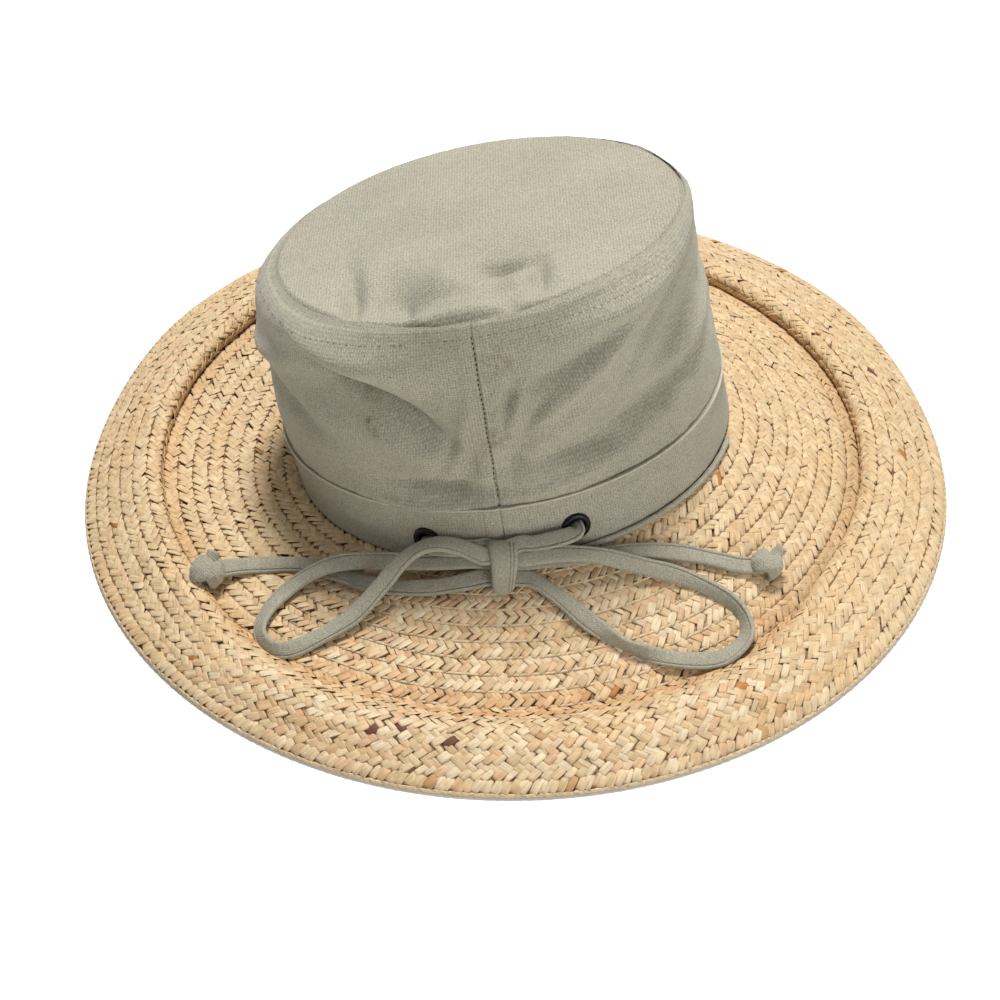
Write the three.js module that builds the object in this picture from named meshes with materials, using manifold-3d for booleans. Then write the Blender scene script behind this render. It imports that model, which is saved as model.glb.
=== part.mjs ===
// A wide-brim sun hat: a soft canvas crown on a plaited straw brim, with a drawstring tied in a bow.
// The hat stands on its rim at z = 0. +Z is up, the bow is towards -Y and +X is to the right of the bow.
// All lengths are in millimetres. A turn is an angle round the hat from +X, in degrees, seen from above.

import * as THREE from "three";
import { mergeVertices } from "three/addons/utils/BufferGeometryUtils.js";
import Module from "manifold-3d";

const wasm = await Module();
wasm.setup();

// Cloth and straw
const strawThickness = 2.5;
const canvasThickness = 2;
const seamGap = 0.3;

// Brim
const brimRadius = 185.5;
const rimWidth = 35;
const rimHeight = 18;
const creaseHeight = 10.8;
const frontLift = 6;
const frontLiftStart = 0.1;
const frontLiftFull = 0.6;
const creaseShiftX = -1.5;

// Crown
const headRadius = 90.3;
const crownHeight = 102;
const bandHeight = 25;
const tipRadius = 81.8;
const tipDome = 3;
const tipOval = 2.6;
const tipOvalTurn = 158;
const baseHeight = 22.7;
const baseShiftX = -1;
const baseTiltRight = 7.5;
const baseTiltBack = 6.4;
const tipShiftX = -12.6;
const tipShiftY = 3.6;
const tipTiltRight = 12.1;
const tipTiltBack = 9.2;

// Eyelets
const eyeletRadius = 5.9;
const eyeletHoleRadius = 3.2;
const eyeletBarrelWall = 0.5;
const eyeletFlange = 1.1;
const eyeletHoleClearance = 0.3;
const eyeletRise = 10;
const eyeletTurnLeft = 248.5;
const eyeletTurnRight = 286;
const eyeletSides = 16;
const drillLength = 16;
const drillSides = 20;

// Welt
const weltDiameter = 2.2;
const weltSides = 6;
const weltStartTurn = 284;
const weltEndTurn = 344;
const weltStepTurn = 4;

// Drawstring
const cordDiameter = 4.4;
const cordSides = 8;
const cordStep = 10.1;
const leadSteps = 7;
const bowKnotWidth = 11.4;
const bowKnotLength = 18.6;
const bowKnotDepth = 11;
const bowKnotRoll = 1.65;
const bowKnotRollSteps = 2;
const bowKnotSteps = 8;
const bowKnotLean = 42;
const endKnotLength = 13;
const endKnotWidth = 12;
const endKnotHeight = 9;
const endKnotLobes = 3;
const endKnotSwell = 0.08;
const endKnotSides = 12;
const endKnotRings = 8;

// Smoothness of the faceted solids
const columns = 60;
const sideRows = 9;
const bandRows = 3;
const tipRows = 7;

const baseRadius = headRadius + canvasThickness;
const creaseRadius = brimRadius - rimWidth;

const radians = THREE.MathUtils.degToRad;
const mix = THREE.MathUtils.lerp;

// Rings that the two cloths are hung on

function tiltedRing(turn, radius, centre, tiltRight, tiltBack) {
  const along = radius * Math.cos(radians(turn));
  const back = radius * Math.sin(radians(turn));
  const lift = along * Math.tan(radians(tiltRight)) - back * Math.tan(radians(tiltBack));
  return new THREE.Vector3(centre.x + along, centre.y + back, centre.z + lift);
}

const baseCentre = new THREE.Vector3(baseShiftX, 0, baseHeight);
const tipCentre = new THREE.Vector3(baseShiftX + tipShiftX, tipShiftY, baseHeight + crownHeight);

function basePoint(turn, radius) {
  return tiltedRing(turn, radius, baseCentre, baseTiltRight, baseTiltBack);
}

// share is the part of the way out from the tip's middle to its edge
function tipEdgePoint(turn, radius, share = 1) {
  const oval = tipOval * Math.cos(2 * radians(turn - tipOvalTurn));
  return tiltedRing(turn, radius + oval * share, tipCentre, tipTiltRight, tipTiltBack);
}

// Brim

// Section of the rolled rim, from the crease out to the edge: out is a share of the rim's width and up is a
// share of its height. The roll stands over the crease at the sides and front of the head, and dies away into
// a soft valley behind the bow.
const rimSection = [
  { rollOut: 0.0, rollUp: 0.6, valleyOut: 0.0, valleyUp: 0.6 },
  { rollOut: 0.012, rollUp: 0.69, valleyOut: 0.09, valleyUp: 0.63 },
  { rollOut: -0.012, rollUp: 0.81, valleyOut: 0.18, valleyUp: 0.7 },
  { rollOut: 0.02, rollUp: 0.94, valleyOut: 0.27, valleyUp: 0.78 },
  { rollOut: 0.1, rollUp: 1.0, valleyOut: 0.36, valleyUp: 0.83 },
  { rollOut: 0.23, rollUp: 0.98, valleyOut: 0.46, valleyUp: 0.83 },
  { rollOut: 0.4, rollUp: 0.85, valleyOut: 0.58, valleyUp: 0.75 },
  { rollOut: 0.6, rollUp: 0.63, valleyOut: 0.71, valleyUp: 0.6 },
  { rollOut: 0.8, rollUp: 0.4, valleyOut: 0.84, valleyUp: 0.39 },
  { rollOut: 0.94, rollUp: 0.21, valleyOut: 0.95, valleyUp: 0.21 },
  { rollOut: 1.0, rollUp: 0.11, valleyOut: 1.0, valleyUp: 0.11 },
  { rollOut: 1.0, rollUp: 0.0, valleyOut: 1.0, valleyUp: 0.0 },
];
const flatShares = [0.33, 0.67];
const valleyTurn = 268;
const valleyHalfTurn = 34;
const valleyFadeTurn = 26;

function turnDistance(turn, other) {
  const apart = Math.abs(turn - other) % 360;
  return Math.min(apart, 360 - apart);
}

// 1 where the rim is rolled over the crease, 0 in the valley behind the bow
function rollShare(turn) {
  const past = turnDistance(turn, valleyTurn) - valleyHalfTurn;
  return THREE.MathUtils.smoothstep(past, 0, valleyFadeTurn);
}

// How far the brim's edge is held up at the front of the head, away from the bow
function edgeLift(turn) {
  return frontLift * THREE.MathUtils.smoothstep(Math.sin(radians(turn)), frontLiftStart, frontLiftFull);
}

// The flat braid rows, as rings of their upper face from the head opening to just short of the crease
function flatSection(turn) {
  const section = [headRadius, baseRadius].map((radius) => {
    return { radius, height: basePoint(turn, radius).z, x: baseShiftX };
  });
  const start = section[1];
  const creaseShare = 1 - seamGap / (creaseRadius - baseRadius);
  for (const share of [...flatShares, creaseShare]) {
    section.push({
      radius: mix(start.radius, creaseRadius, share),
      height: mix(start.height, creaseHeight, share),
      x: mix(start.x, creaseShiftX, share),
    });
  }
  return section;
}

// The rolled rim's braid rows, as rings of their upper face from the crease to the outer edge
function rolledSection(turn) {
  const rolled = rollShare(turn);
  return rimSection.map((row) => {
    const out = mix(row.valleyOut, row.rollOut, rolled);
    const lift = edgeLift(turn) * Math.max(0, out) ** 2;
    return {
      radius: creaseRadius + rimWidth * out,
      height: rimHeight * mix(row.valleyUp, row.rollUp, rolled) + lift,
      x: creaseShiftX * Math.min(1, 1 - out),
    };
  });
}

// The lower face, one straw thickness under the upper one, ring for ring. Where the flat rows meet the rolled
// ones their end faces stand upright.
function underside(section, uprightIndex) {
  return section.map((ring, index) => {
    if (index === uprightIndex) return { ...ring, height: ring.height - strawThickness };
    const before = section[Math.max(index - 1, 0)];
    const after = section[Math.min(index + 1, section.length - 1)];
    const inRun = new THREE.Vector2(ring.radius - before.radius, ring.height - before.height).normalize();
    const outRun = new THREE.Vector2(after.radius - ring.radius, after.height - ring.height).normalize();
    const run = inRun.clone().add(outRun).normalize();
    const edge = index === 0 || index === section.length - 1;
    const mitre = edge ? 1 : 1 / Math.max(run.dot(inRun), Math.SQRT1_2);
    return {
      radius: ring.radius + run.y * strawThickness * mitre,
      height: ring.height - run.x * strawThickness * mitre,
      x: ring.x,
    };
  });
}

function strawLoop(turn, upper, uprightIndex) {
  const loop = underside(upper, uprightIndex).concat(upper.reverse());
  return loop.map((ring) => {
    const x = ring.x + ring.radius * Math.cos(radians(turn));
    return new THREE.Vector3(x, ring.radius * Math.sin(radians(turn)), ring.height);
  });
}

// Crown

// Swells and folds of the canvas wall. rise goes from 0 at the foot to 1 at the tip seam, and lean is the
// angle of a fold from the horizontal. long, across and out are shares of the crown's height.
const wallFolds = [
  { name: "slouch", turn: 180, rise: 0.8, lean: 0, long: 0.75, across: 0.3, out: 0.085 },
  { name: "left hip", turn: 192, rise: 0.36, lean: 0, long: 0.45, across: 0.2, out: 0.04 },
  { name: "left brow", turn: 236, rise: 0.9, lean: -6, long: 0.4, across: 0.1, out: 0.035 },
  { name: "left hollow", turn: 238, rise: 0.72, lean: -30, long: 0.36, across: 0.07, out: -0.035 },
  { name: "left drape", turn: 230, rise: 0.52, lean: -8, long: 0.36, across: 0.12, out: 0.022 },
  { name: "foot crease", turn: 256, rise: 0.32, lean: -10, long: 0.2, across: 0.035, out: -0.028 },
  { name: "right brow", turn: 310, rise: 0.88, lean: 8, long: 0.42, across: 0.08, out: 0.03 },
  { name: "long drape", turn: 288, rise: 0.68, lean: 26, long: 0.3, across: 0.06, out: 0.024 },
  { name: "right hollow", turn: 326, rise: 0.66, lean: 20, long: 0.36, across: 0.12, out: -0.022 },
  { name: "long hollow", turn: 300, rise: 0.46, lean: 5, long: 0.55, across: 0.07, out: -0.024 },
  { name: "lower drape", turn: 300, rise: 0.36, lean: 6, long: 0.5, across: 0.06, out: 0.018 },
  { name: "front hollow", turn: 60, rise: 0.5, lean: 25, long: 0.5, across: 0.12, out: -0.03 },
  { name: "front drape", turn: 110, rise: 0.6, lean: -30, long: 0.5, across: 0.12, out: 0.025 },
];
const footFade = 0.1;
const shoulderFade = 0.1;

function foldOffset(turn, rise) {
  let offset = 0;
  for (const fold of wallFolds) {
    const apart = THREE.MathUtils.euclideanModulo(turn - fold.turn + 180, 360) - 180;
    const aside = radians(apart) * headRadius / crownHeight;
    const above = rise - fold.rise;
    const lean = radians(fold.lean);
    const alongFold = aside * Math.cos(lean) + above * Math.sin(lean);
    const acrossFold = above * Math.cos(lean) - aside * Math.sin(lean);
    offset += fold.out * Math.exp(-((alongFold / fold.long) ** 2) - (acrossFold / fold.across) ** 2);
  }
  const foot = Math.min(1, rise / footFade);
  const shoulder = Math.min(1, (1 - rise) / shoulderFade);
  const round = (share) => Math.sqrt(1 - (1 - share) ** 2);
  return offset * crownHeight * foot * round(shoulder);
}

// The canvas wall at a depth under its outer face
function wallPoint(turn, rise, depth = 0) {
  const point = basePoint(turn, baseRadius - depth).lerp(tipEdgePoint(turn, tipRadius - depth), rise);
  const out = foldOffset(turn, rise);
  point.x += out * Math.cos(radians(turn));
  point.y += out * Math.sin(radians(turn));
  return point;
}

function wallNormal(turn, rise) {
  const step = 0.01;
  const round = wallPoint(turn + 1, rise).sub(wallPoint(turn - 1, rise));
  const up = wallPoint(turn, Math.min(1, rise + step)).sub(wallPoint(turn, Math.max(0, rise - step)));
  return round.cross(up).normalize();
}

function wallLoop(turn, lowRise, highRise, rows) {
  const outer = [];
  const inner = [];
  for (let row = 0; row <= rows; row += 1) {
    const rise = mix(lowRise, highRise, row / rows);
    outer.push(wallPoint(turn, rise));
    inner.unshift(wallPoint(turn, rise, canvasThickness));
  }
  return outer.concat(inner);
}

// Dents and swells of the tip, with x, y, wide and deep as shares of its radius and up as a share of its dome
const tipDents = [
  { name: "left dent", x: -0.42, y: -0.62, wide: 0.2, deep: 0.22, up: -1.5 },
  { name: "middle dent", x: 0.1, y: -0.66, wide: 0.14, deep: 0.2, up: -1.1 },
  { name: "swell between", x: -0.16, y: -0.62, wide: 0.18, deep: 0.18, up: 0.8 },
  { name: "pucker", x: -0.12, y: -0.95, wide: 0.3, deep: 0.1, up: -1.2 },
];
const tipLift = new THREE.Vector3(
  -Math.tan(radians(tipTiltRight)),
  Math.tan(radians(tipTiltBack)),
  1,
).normalize();

function tipHeight(turn, share) {
  const x = share * Math.cos(radians(turn));
  const y = share * Math.sin(radians(turn));
  let height = 1 - share ** 2;
  for (const dent of tipDents) {
    const press = Math.exp(-(((x - dent.x) / dent.wide) ** 2) - ((y - dent.y) / dent.deep) ** 2);
    height += dent.up * press * (1 - share ** 6);
  }
  return height * tipDome;
}

// A point of the tip's upper face, or of its lower face when sunk is the canvas thickness
function tipPoint(turn, share, sunk) {
  const lift = seamGap + canvasThickness - sunk + tipHeight(turn, share);
  return tipEdgePoint(turn, tipRadius * share, share).addScaledVector(tipLift, lift);
}

// Solids from points

// A ring-shaped solid from one closed loop of points for each column round the hat
function ringSolid(loopAt) {
  const positions = [];
  let loopSize = 0;
  for (let column = 0; column < columns; column += 1) {
    const loop = loopAt(360 * column / columns);
    loopSize = loop.length;
    for (const point of loop) positions.push(point.x, point.y, point.z);
  }
  const faces = [];
  for (let column = 0; column < columns; column += 1) {
    const here = column * loopSize;
    const next = ((column + 1) % columns) * loopSize;
    for (let step = 0; step < loopSize; step += 1) {
      const after = (step + 1) % loopSize;
      faces.push(here + step, next + step, next + after, here + step, next + after, here + after);
    }
  }
  return facetedSolid(positions, faces);
}

function facetedSolid(positions, faces) {
  const solid = new THREE.BufferGeometry();
  solid.setAttribute("position", new THREE.Float32BufferAttribute(positions, 3));
  solid.setIndex(faces);
  return solid;
}

// A domed disc from a centre point and rings of points on each face
function discSolid(rows, pointAt) {
  const positions = [];
  const faces = [];
  const ringStarts = [];
  const addRing = (share, sunk) => {
    ringStarts.push(positions.length / 3);
    for (let column = 0; column < columns; column += 1) {
      const point = pointAt(360 * column / columns, share, sunk);
      positions.push(point.x, point.y, point.z);
    }
  };
  for (let row = 1; row <= rows; row += 1) addRing(row / rows, 0);
  for (let row = rows; row >= 1; row -= 1) addRing(row / rows, canvasThickness);
  const topCentre = positions.length / 3;
  const underCentre = topCentre + 1;
  for (const sunk of [0, canvasThickness]) {
    const point = pointAt(0, 0, sunk);
    positions.push(point.x, point.y, point.z);
  }
  const firstRing = ringStarts[0];
  const lastRing = ringStarts[ringStarts.length - 1];
  for (let column = 0; column < columns; column += 1) {
    const after = (column + 1) % columns;
    faces.push(topCentre, firstRing + column, firstRing + after);
    faces.push(underCentre, lastRing + after, lastRing + column);
    for (let ring = 0; ring + 1 < ringStarts.length; ring += 1) {
      const inner = ringStarts[ring];
      const outer = ringStarts[ring + 1];
      faces.push(inner + column, outer + column, outer + after);
      faces.push(inner + column, outer + after, inner + after);
    }
  }
  return facetedSolid(positions, faces);
}

// Booleans

function toManifold(geometry) {
  const bare = geometry.clone();
  bare.deleteAttribute("normal");
  bare.deleteAttribute("uv");
  const merged = mergeVertices(bare, 1e-4);
  return new wasm.Manifold(new wasm.Mesh({
    numProp: 3,
    vertProperties: merged.attributes.position.array,
    triVerts: Uint32Array.from(merged.index.array),
  }));
}

function fromManifold(solid) {
  const mesh = solid.getMesh();
  const geometry = new THREE.BufferGeometry();
  geometry.setAttribute("position", new THREE.BufferAttribute(mesh.vertProperties, mesh.numProp));
  geometry.setIndex(new THREE.BufferAttribute(mesh.triVerts, 1));
  return geometry;
}

// Materials

const straw = new THREE.MeshStandardMaterial({ color: 0xd9b486, roughness: 0.75, metalness: 0 });
const canvas = new THREE.MeshStandardMaterial({ color: 0x9b9683, roughness: 0.9, metalness: 0 });
const blackMetal = new THREE.MeshStandardMaterial({ color: 0x15171a, roughness: 0.4, metalness: 0.6 });

const hat = new THREE.Group();

function addPiece(name, geometry, material) {
  const piece = new THREE.Mesh(geometry, material);
  piece.name = name;
  hat.add(piece);
  return piece;
}

// Brim and crown

addPiece("brim", ringSolid((turn) => strawLoop(turn, flatSection(turn), flatShares.length + 2)), straw);
addPiece("rim", ringSolid((turn) => strawLoop(turn, rolledSection(turn), 0)), straw);

// Share of the wall's height at a given distance up from its foot
function riseAt(distance) {
  return distance / crownHeight;
}

const bandFoot = riseAt(seamGap);
const bandTop = riseAt(bandHeight);
const sideFoot = riseAt(bandHeight + seamGap);
addPiece("crown_side", ringSolid((turn) => wallLoop(turn, sideFoot, 1, sideRows)), canvas);
addPiece("crown_tip", discSolid(tipRows, tipPoint), canvas);

// Eyelets, each on the band's outer face and square to it

const eyelets = [
  { name: "eyelet_left", turn: eyeletTurnLeft },
  { name: "eyelet_right", turn: eyeletTurnRight },
];

// Section of an eyelet's domed flange: out is a share of the way from the hole to the rim and up is a share
// of the flange's thickness
const flangeSection = [
  { out: 1.0, up: 0.0 },
  { out: 0.88, up: 0.7 },
  { out: 0.59, up: 1.0 },
  { out: 0.25, up: 0.85 },
  { out: 0.0, up: 0.0 },
];

function eyeletGeometry() {
  const flangeFoot = seamGap;
  const flangeTop = flangeFoot + eyeletFlange;
  const barrelRadius = eyeletHoleRadius + eyeletBarrelWall;
  const barrel = [
    new THREE.Vector2(eyeletHoleRadius, -canvasThickness),
    new THREE.Vector2(barrelRadius, -canvasThickness),
    new THREE.Vector2(barrelRadius, flangeFoot),
  ];
  const flange = flangeSection.map(({ out, up }) => {
    return new THREE.Vector2(mix(eyeletHoleRadius, eyeletRadius, out), mix(flangeFoot, flangeTop, up));
  });
  return mergeVertices(new THREE.LatheGeometry([...barrel, ...flange, barrel[0]], eyeletSides));
}

function placeOnBand(piece, turn) {
  const rise = riseAt(eyeletRise);
  const outward = wallNormal(turn, rise);
  piece.position.copy(wallPoint(turn, rise));
  piece.quaternion.setFromUnitVectors(new THREE.Vector3(0, 1, 0), outward);
  piece.updateMatrix();
  return piece;
}

function bandWithHoles() {
  let band = toManifold(ringSolid((turn) => wallLoop(turn, bandFoot, bandTop, bandRows)));
  const holeRadius = eyeletHoleRadius + eyeletBarrelWall + eyeletHoleClearance;
  for (const eyelet of eyelets) {
    const drill = new THREE.Mesh(new THREE.CylinderGeometry(holeRadius, holeRadius, drillLength, drillSides));
    placeOnBand(drill, eyelet.turn);
    band = band.subtract(toManifold(drill.geometry.applyMatrix4(drill.matrix)));
  }
  return fromManifold(band);
}

addPiece("crown_band", bandWithHoles(), canvas);
for (const eyelet of eyelets) {
  placeOnBand(addPiece(eyelet.name, eyeletGeometry(), blackMetal), eyelet.turn);
}

// Base welt, the rolled edge of canvas that shows on the straw under the band at the right

function weltPoint(turn) {
  const radius = baseRadius + seamGap + weltDiameter / 2;
  const point = basePoint(turn, radius);
  const share = (radius - baseRadius) / (creaseRadius - baseRadius);
  point.z = mix(basePoint(turn, baseRadius).z, creaseHeight, share) + seamGap + weltDiameter / 2;
  return point;
}

const weltRoute = [];
for (let turn = weltStartTurn; turn <= weltEndTurn; turn += weltStepTurn) weltRoute.push(weltPoint(turn));
addPiece("base_welt", tube(weltRoute, weltDiameter, weltSides, weltRoute.length - 1), canvas);

// Drawstring. Each side goes from its eyelet into the bow's knot, out again as the other side's loop, back
// through the knot and out as a free end. The points are the cord's middle line.

const cordRoutes = {
  lead_left: [
    [-34.6, -83.3, 37.8], [-35.6, -86.2, 38.1], [-36, -88, 38.4], [-34.8, -89.5, 38.9], [-30.5, -91.6, 39.9],
    [-25, -93.2, 41], [-20, -94, 41.8], [-15, -94.4, 42.3], [-11.6, -94.4, 42.3],
  ],
  loop_left: [
    [-11.6, -99.2, 42.3], [-16, -99, 43.2], [-23, -97, 45.3], [-31, -95.5, 45.8], [-39, -95.2, 42.8],
    [-47, -97.5, 37], [-54.3, -102.5, 30], [-65.8, -110.5, 21.5], [-81, -117.5, 16.2], [-91.5, -120.5, 14],
    [-99, -117.5, 14], [-102.5, -109, 14], [-99.5, -99, 15.5], [-90, -89.5, 19], [-79.5, -86.5, 24.5],
    [-69, -86, 28], [-53.5, -88.5, 30.5], [-37, -92.5, 33], [-23, -95, 36], [-16, -96, 37],
    [-11.6, -96.3, 37],
  ],
  tail_left: [
    [-11.6, -101.5, 33], [-17, -101.5, 31.8], [-24, -101.5, 30], [-35, -101, 27.5], [-49.5, -98, 25],
    [-61.5, -93, 23], [-73.5, -85.5, 21.5], [-85.5, -79, 19.5], [-101, -75.5, 17], [-112, -76, 16.6],
    [-118.6, -79, 18],
  ],
  lead_right: [
    [22.1, -86.1, 46.2], [22.9, -89, 46.6], [23, -90.9, 46.9], [21.2, -92.6, 46.9], [17, -94.2, 46.6],
    [11, -95.2, 45.8], [5, -95.5, 44.8], [0.6, -95.5, 44.8],
  ],
  loop_right: [
    [0.6, -99.8, 41.7], [5, -99.8, 41.7], [12, -98.8, 42], [21, -98, 41.5], [32, -98, 40],
    [47, -98.5, 35], [63.5, -99, 29], [75.5, -102, 24.5], [84, -106, 20.5], [88.5, -111.5, 17],
    [88.5, -119, 15], [83, -126, 14], [74.5, -130.5, 14], [57.5, -132, 16.8], [41.5, -128, 20.5],
    [29, -121.5, 25], [18, -112.5, 29], [10, -106, 31.5], [5, -103, 32.8], [0.6, -102.5, 33],
  ],
  tail_right: [
    [0.6, -97, 36.8], [5, -97, 36.8], [12, -96, 36.5], [22.5, -95, 36.5], [34, -93.5, 36.2],
    [48, -91, 35.5], [64, -89.5, 32.5], [78, -89.5, 28.5], [87.5, -89.5, 25.2], [92.5, -89.5, 24],
  ],
};
const bowKnotCentre = new THREE.Vector3(-5.5, -99.9, 38.2);
const endKnots = [
  { name: "end_knot_left", centre: new THREE.Vector3(-124.8, -82.4, 19.8), turn: 26 },
  { name: "end_knot_right", centre: new THREE.Vector3(99.5, -89, 24), turn: 178 },
];

// A round tube along a smooth curve through the points
function tube(points, diameter, sides, steps) {
  const section = new THREE.Shape();
  for (let side = 0; side < sides; side += 1) {
    const angle = 2 * Math.PI * (side + 0.5) / sides;
    const x = diameter / 2 * Math.cos(angle);
    const y = diameter / 2 * Math.sin(angle);
    if (side === 0) section.moveTo(x, y);
    else section.lineTo(x, y);
  }
  const path = new THREE.CatmullRomCurve3(points);
  return new THREE.ExtrudeGeometry(section, { steps, extrudePath: path });
}

for (const [name, route] of Object.entries(cordRoutes)) {
  const points = route.map((point) => new THREE.Vector3(...point));
  const length = new THREE.CatmullRomCurve3(points).getLength();
  const steps = Math.max(leadSteps, Math.round(length / cordStep));
  addPiece(name, tube(points, cordDiameter, cordSides, steps), canvas);
}

// The bow's knot, an oval wrap lying back towards the band
function bowKnotGeometry() {
  const oval = new THREE.Shape();
  const halfLength = bowKnotLength / 2 - bowKnotRoll;
  oval.absellipse(0, 0, halfLength, bowKnotDepth / 2 - bowKnotRoll, 0, 2 * Math.PI);
  const depth = bowKnotWidth - 2 * bowKnotRoll;
  const geometry = new THREE.ExtrudeGeometry(oval, {
    depth,
    curveSegments: bowKnotSteps,
    bevelThickness: bowKnotRoll,
    bevelSize: bowKnotRoll,
    bevelSegments: bowKnotRollSteps,
  });
  geometry.translate(0, 0, -depth / 2);
  geometry.rotateY(Math.PI / 2);
  return geometry;
}

const bowKnot = addPiece("bow_knot", bowKnotGeometry(), canvas);
bowKnot.position.copy(bowKnotCentre);
bowKnot.rotation.x = -radians(bowKnotLean);

// The knots at the free ends, lumps with soft lobes
function endKnotGeometry() {
  const ball = new THREE.SphereGeometry(0.5, endKnotSides, endKnotRings);
  const lump = mergeVertices(ball.deleteAttribute("uv").deleteAttribute("normal"));
  const place = lump.attributes.position;
  for (let index = 0; index < place.count; index += 1) {
    const x = place.getX(index);
    const y = place.getY(index);
    const swell = 1 + endKnotSwell * Math.cos(endKnotLobes * Math.atan2(y, x));
    const z = place.getZ(index) * endKnotHeight;
    place.setXYZ(index, x * swell * endKnotLength, y * swell * endKnotWidth, z);
  }
  return lump;
}

for (const { name, centre, turn } of endKnots) {
  const knot = addPiece(name, endKnotGeometry(), canvas);
  knot.position.copy(centre);
  knot.rotation.z = radians(turn);
}

export default hat;
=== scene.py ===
# %% [markdown]
# # A wide-brim sun hat, dressed in Blender
# The CAD gives the hat's true form: a soft canvas crown on a plaited straw brim, with a drawstring tied in a
# bow. Here each visible surface gets what the real one is made of. The straw is built braid by braid from
# small leaf-shaped strands, the canvas gets its folds, seams and stitches, and the tie is a flat tape.

import math

import bmesh
import bpy
import numpy as np
from mathutils import Matrix, Vector


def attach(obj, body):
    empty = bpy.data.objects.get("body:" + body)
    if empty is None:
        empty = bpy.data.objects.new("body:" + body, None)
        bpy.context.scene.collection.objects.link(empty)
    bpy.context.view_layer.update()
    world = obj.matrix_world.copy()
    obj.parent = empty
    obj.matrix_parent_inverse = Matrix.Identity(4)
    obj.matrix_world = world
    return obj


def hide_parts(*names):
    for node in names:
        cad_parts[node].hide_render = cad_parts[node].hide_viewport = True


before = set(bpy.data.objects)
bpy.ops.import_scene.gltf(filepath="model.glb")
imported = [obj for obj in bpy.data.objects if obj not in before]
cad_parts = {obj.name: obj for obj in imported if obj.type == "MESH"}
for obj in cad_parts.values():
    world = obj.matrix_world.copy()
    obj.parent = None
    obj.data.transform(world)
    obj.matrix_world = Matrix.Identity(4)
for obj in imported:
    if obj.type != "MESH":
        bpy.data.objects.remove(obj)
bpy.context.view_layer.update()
mm = 0.001
print("nodes", sorted(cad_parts))

# %% [markdown]
# ## The camera
# The photograph looks down at the hat by about 42 degrees, with the look of a 75 mm lens from 0.9 m. The
# camera turns about its own line of sight by a little over a degree, because the photograph isn't level.

# %% Camera
camera_lens = 74.87
sensor_width = 36
camera_target = Vector((-6.7, -17.7, -3.0)) * mm
camera_distance = 0.9
camera_elevation = math.radians(42.5)
camera_roll = math.radians(-1.2)

towards_hat = Vector((0, math.cos(camera_elevation), -math.sin(camera_elevation)))
level_right = Vector((1, 0, 0))
level_up = level_right.cross(towards_hat)
camera_right = math.cos(camera_roll) * level_right + math.sin(camera_roll) * level_up
camera_up = math.cos(camera_roll) * level_up - math.sin(camera_roll) * level_right
camera_data = bpy.data.cameras.new("camera")
camera_data.lens = camera_lens
camera_data.sensor_width = sensor_width
camera = bpy.data.objects.new("camera", camera_data)
bpy.context.scene.collection.objects.link(camera)
turned = Matrix((camera_right, camera_up, -towards_hat)).transposed().to_4x4()
camera.matrix_world = Matrix.Translation(camera_target - camera_distance * towards_hat) @ turned
bpy.context.scene.camera = camera
print("camera at", [round(value, 3) for value in camera.matrix_world.translation])

# %% [markdown]
# ## Helpers for meshes
# Each piece is a grid of points, made with numpy and turned into a mesh. A piece's cloth coordinates are in
# metres of cloth, so that a weave has the same size everywhere.


# %% Mesh helpers
def make_piece(name, points, faces, material, cloth=None, tints=None):
    """A mesh piece. cloth has two metres for each corner of each face, tints a colour for each point."""
    mesh = bpy.data.meshes.new(name)
    mesh.from_pydata(np.asarray(points).reshape(-1, 3).tolist(), [], [list(face) for face in faces])
    if cloth is not None:
        layer = mesh.uv_layers.new(name="cloth")
        layer.data.foreach_set("uv", np.asarray(cloth, np.float32).ravel())
    if tints is not None:
        colours = mesh.color_attributes.new("tint", "FLOAT_COLOR", "POINT")
        full = np.ones((len(mesh.vertices), 4), np.float32)
        full[:, :3] = tints
        colours.data.foreach_set("color", full.ravel())
    mesh.polygons.foreach_set("use_smooth", [True] * len(mesh.polygons))
    mesh.materials.append(material)
    mesh.update()
    piece = bpy.data.objects.new(name, mesh)
    bpy.context.scene.collection.objects.link(piece)
    return piece


def finish_piece(piece, slot, *nodes):
    """The piece rides on the hat's one body and stands for the CAD nodes."""
    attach(piece, "root")
    if nodes:
        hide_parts(*nodes)
    print(piece.name, len(piece.data.polygons), "faces")
    return piece


def grid_faces(columns, rows, wrap_columns, wrap_rows):
    """Corner numbers and (column, row) places of the quads of a grid whose points go column by column."""
    last_column = columns if wrap_columns else columns - 1
    last_row = rows if wrap_rows else rows - 1
    column, row = np.meshgrid(np.arange(last_column), np.arange(last_row), indexing="ij")
    column, row = column.ravel(), row.ravel()
    next_column, next_row = column + 1, row + 1
    corners = [(column, row), (next_column, row), (next_column, next_row), (column, next_row)]
    faces = np.stack([(c % columns) * rows + r % rows for c, r in corners], axis=1)
    places = np.stack([np.stack(corner, axis=1) for corner in corners], axis=1)
    return faces, places.astype(float)


def smoothstep(value, low, high):
    share = np.clip((value - low) / (high - low), 0, 1)
    return share * share * (3 - 2 * share)


def wander(turn, rise, seed, waves=7, finest=9):
    """Soft unevenness between about -1 and 1 that closes round the hat."""
    source = np.random.default_rng(seed)
    total = np.zeros(np.broadcast(turn, rise).shape)
    for _ in range(waves):
        round_waves = source.integers(1, finest + 1)
        up_waves = source.uniform(-finest / 4, finest / 4)
        phase = source.uniform(0, 2 * math.pi)
        total += np.sin(round_waves * np.radians(turn) + 2 * math.pi * up_waves * rise + phase)
    return total / math.sqrt(waves) / 1.4


def run_along(points):
    """The distance along a line of points, at each of them."""
    return np.concatenate([[0], np.cumsum(np.linalg.norm(np.diff(points, axis=0), axis=1))])


# %% [markdown]
# ## Shader helpers
# Each finish is a small network of nodes. One helper adds a node and links or sets its inputs by name, so
# that the materials below read like recipes.


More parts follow.
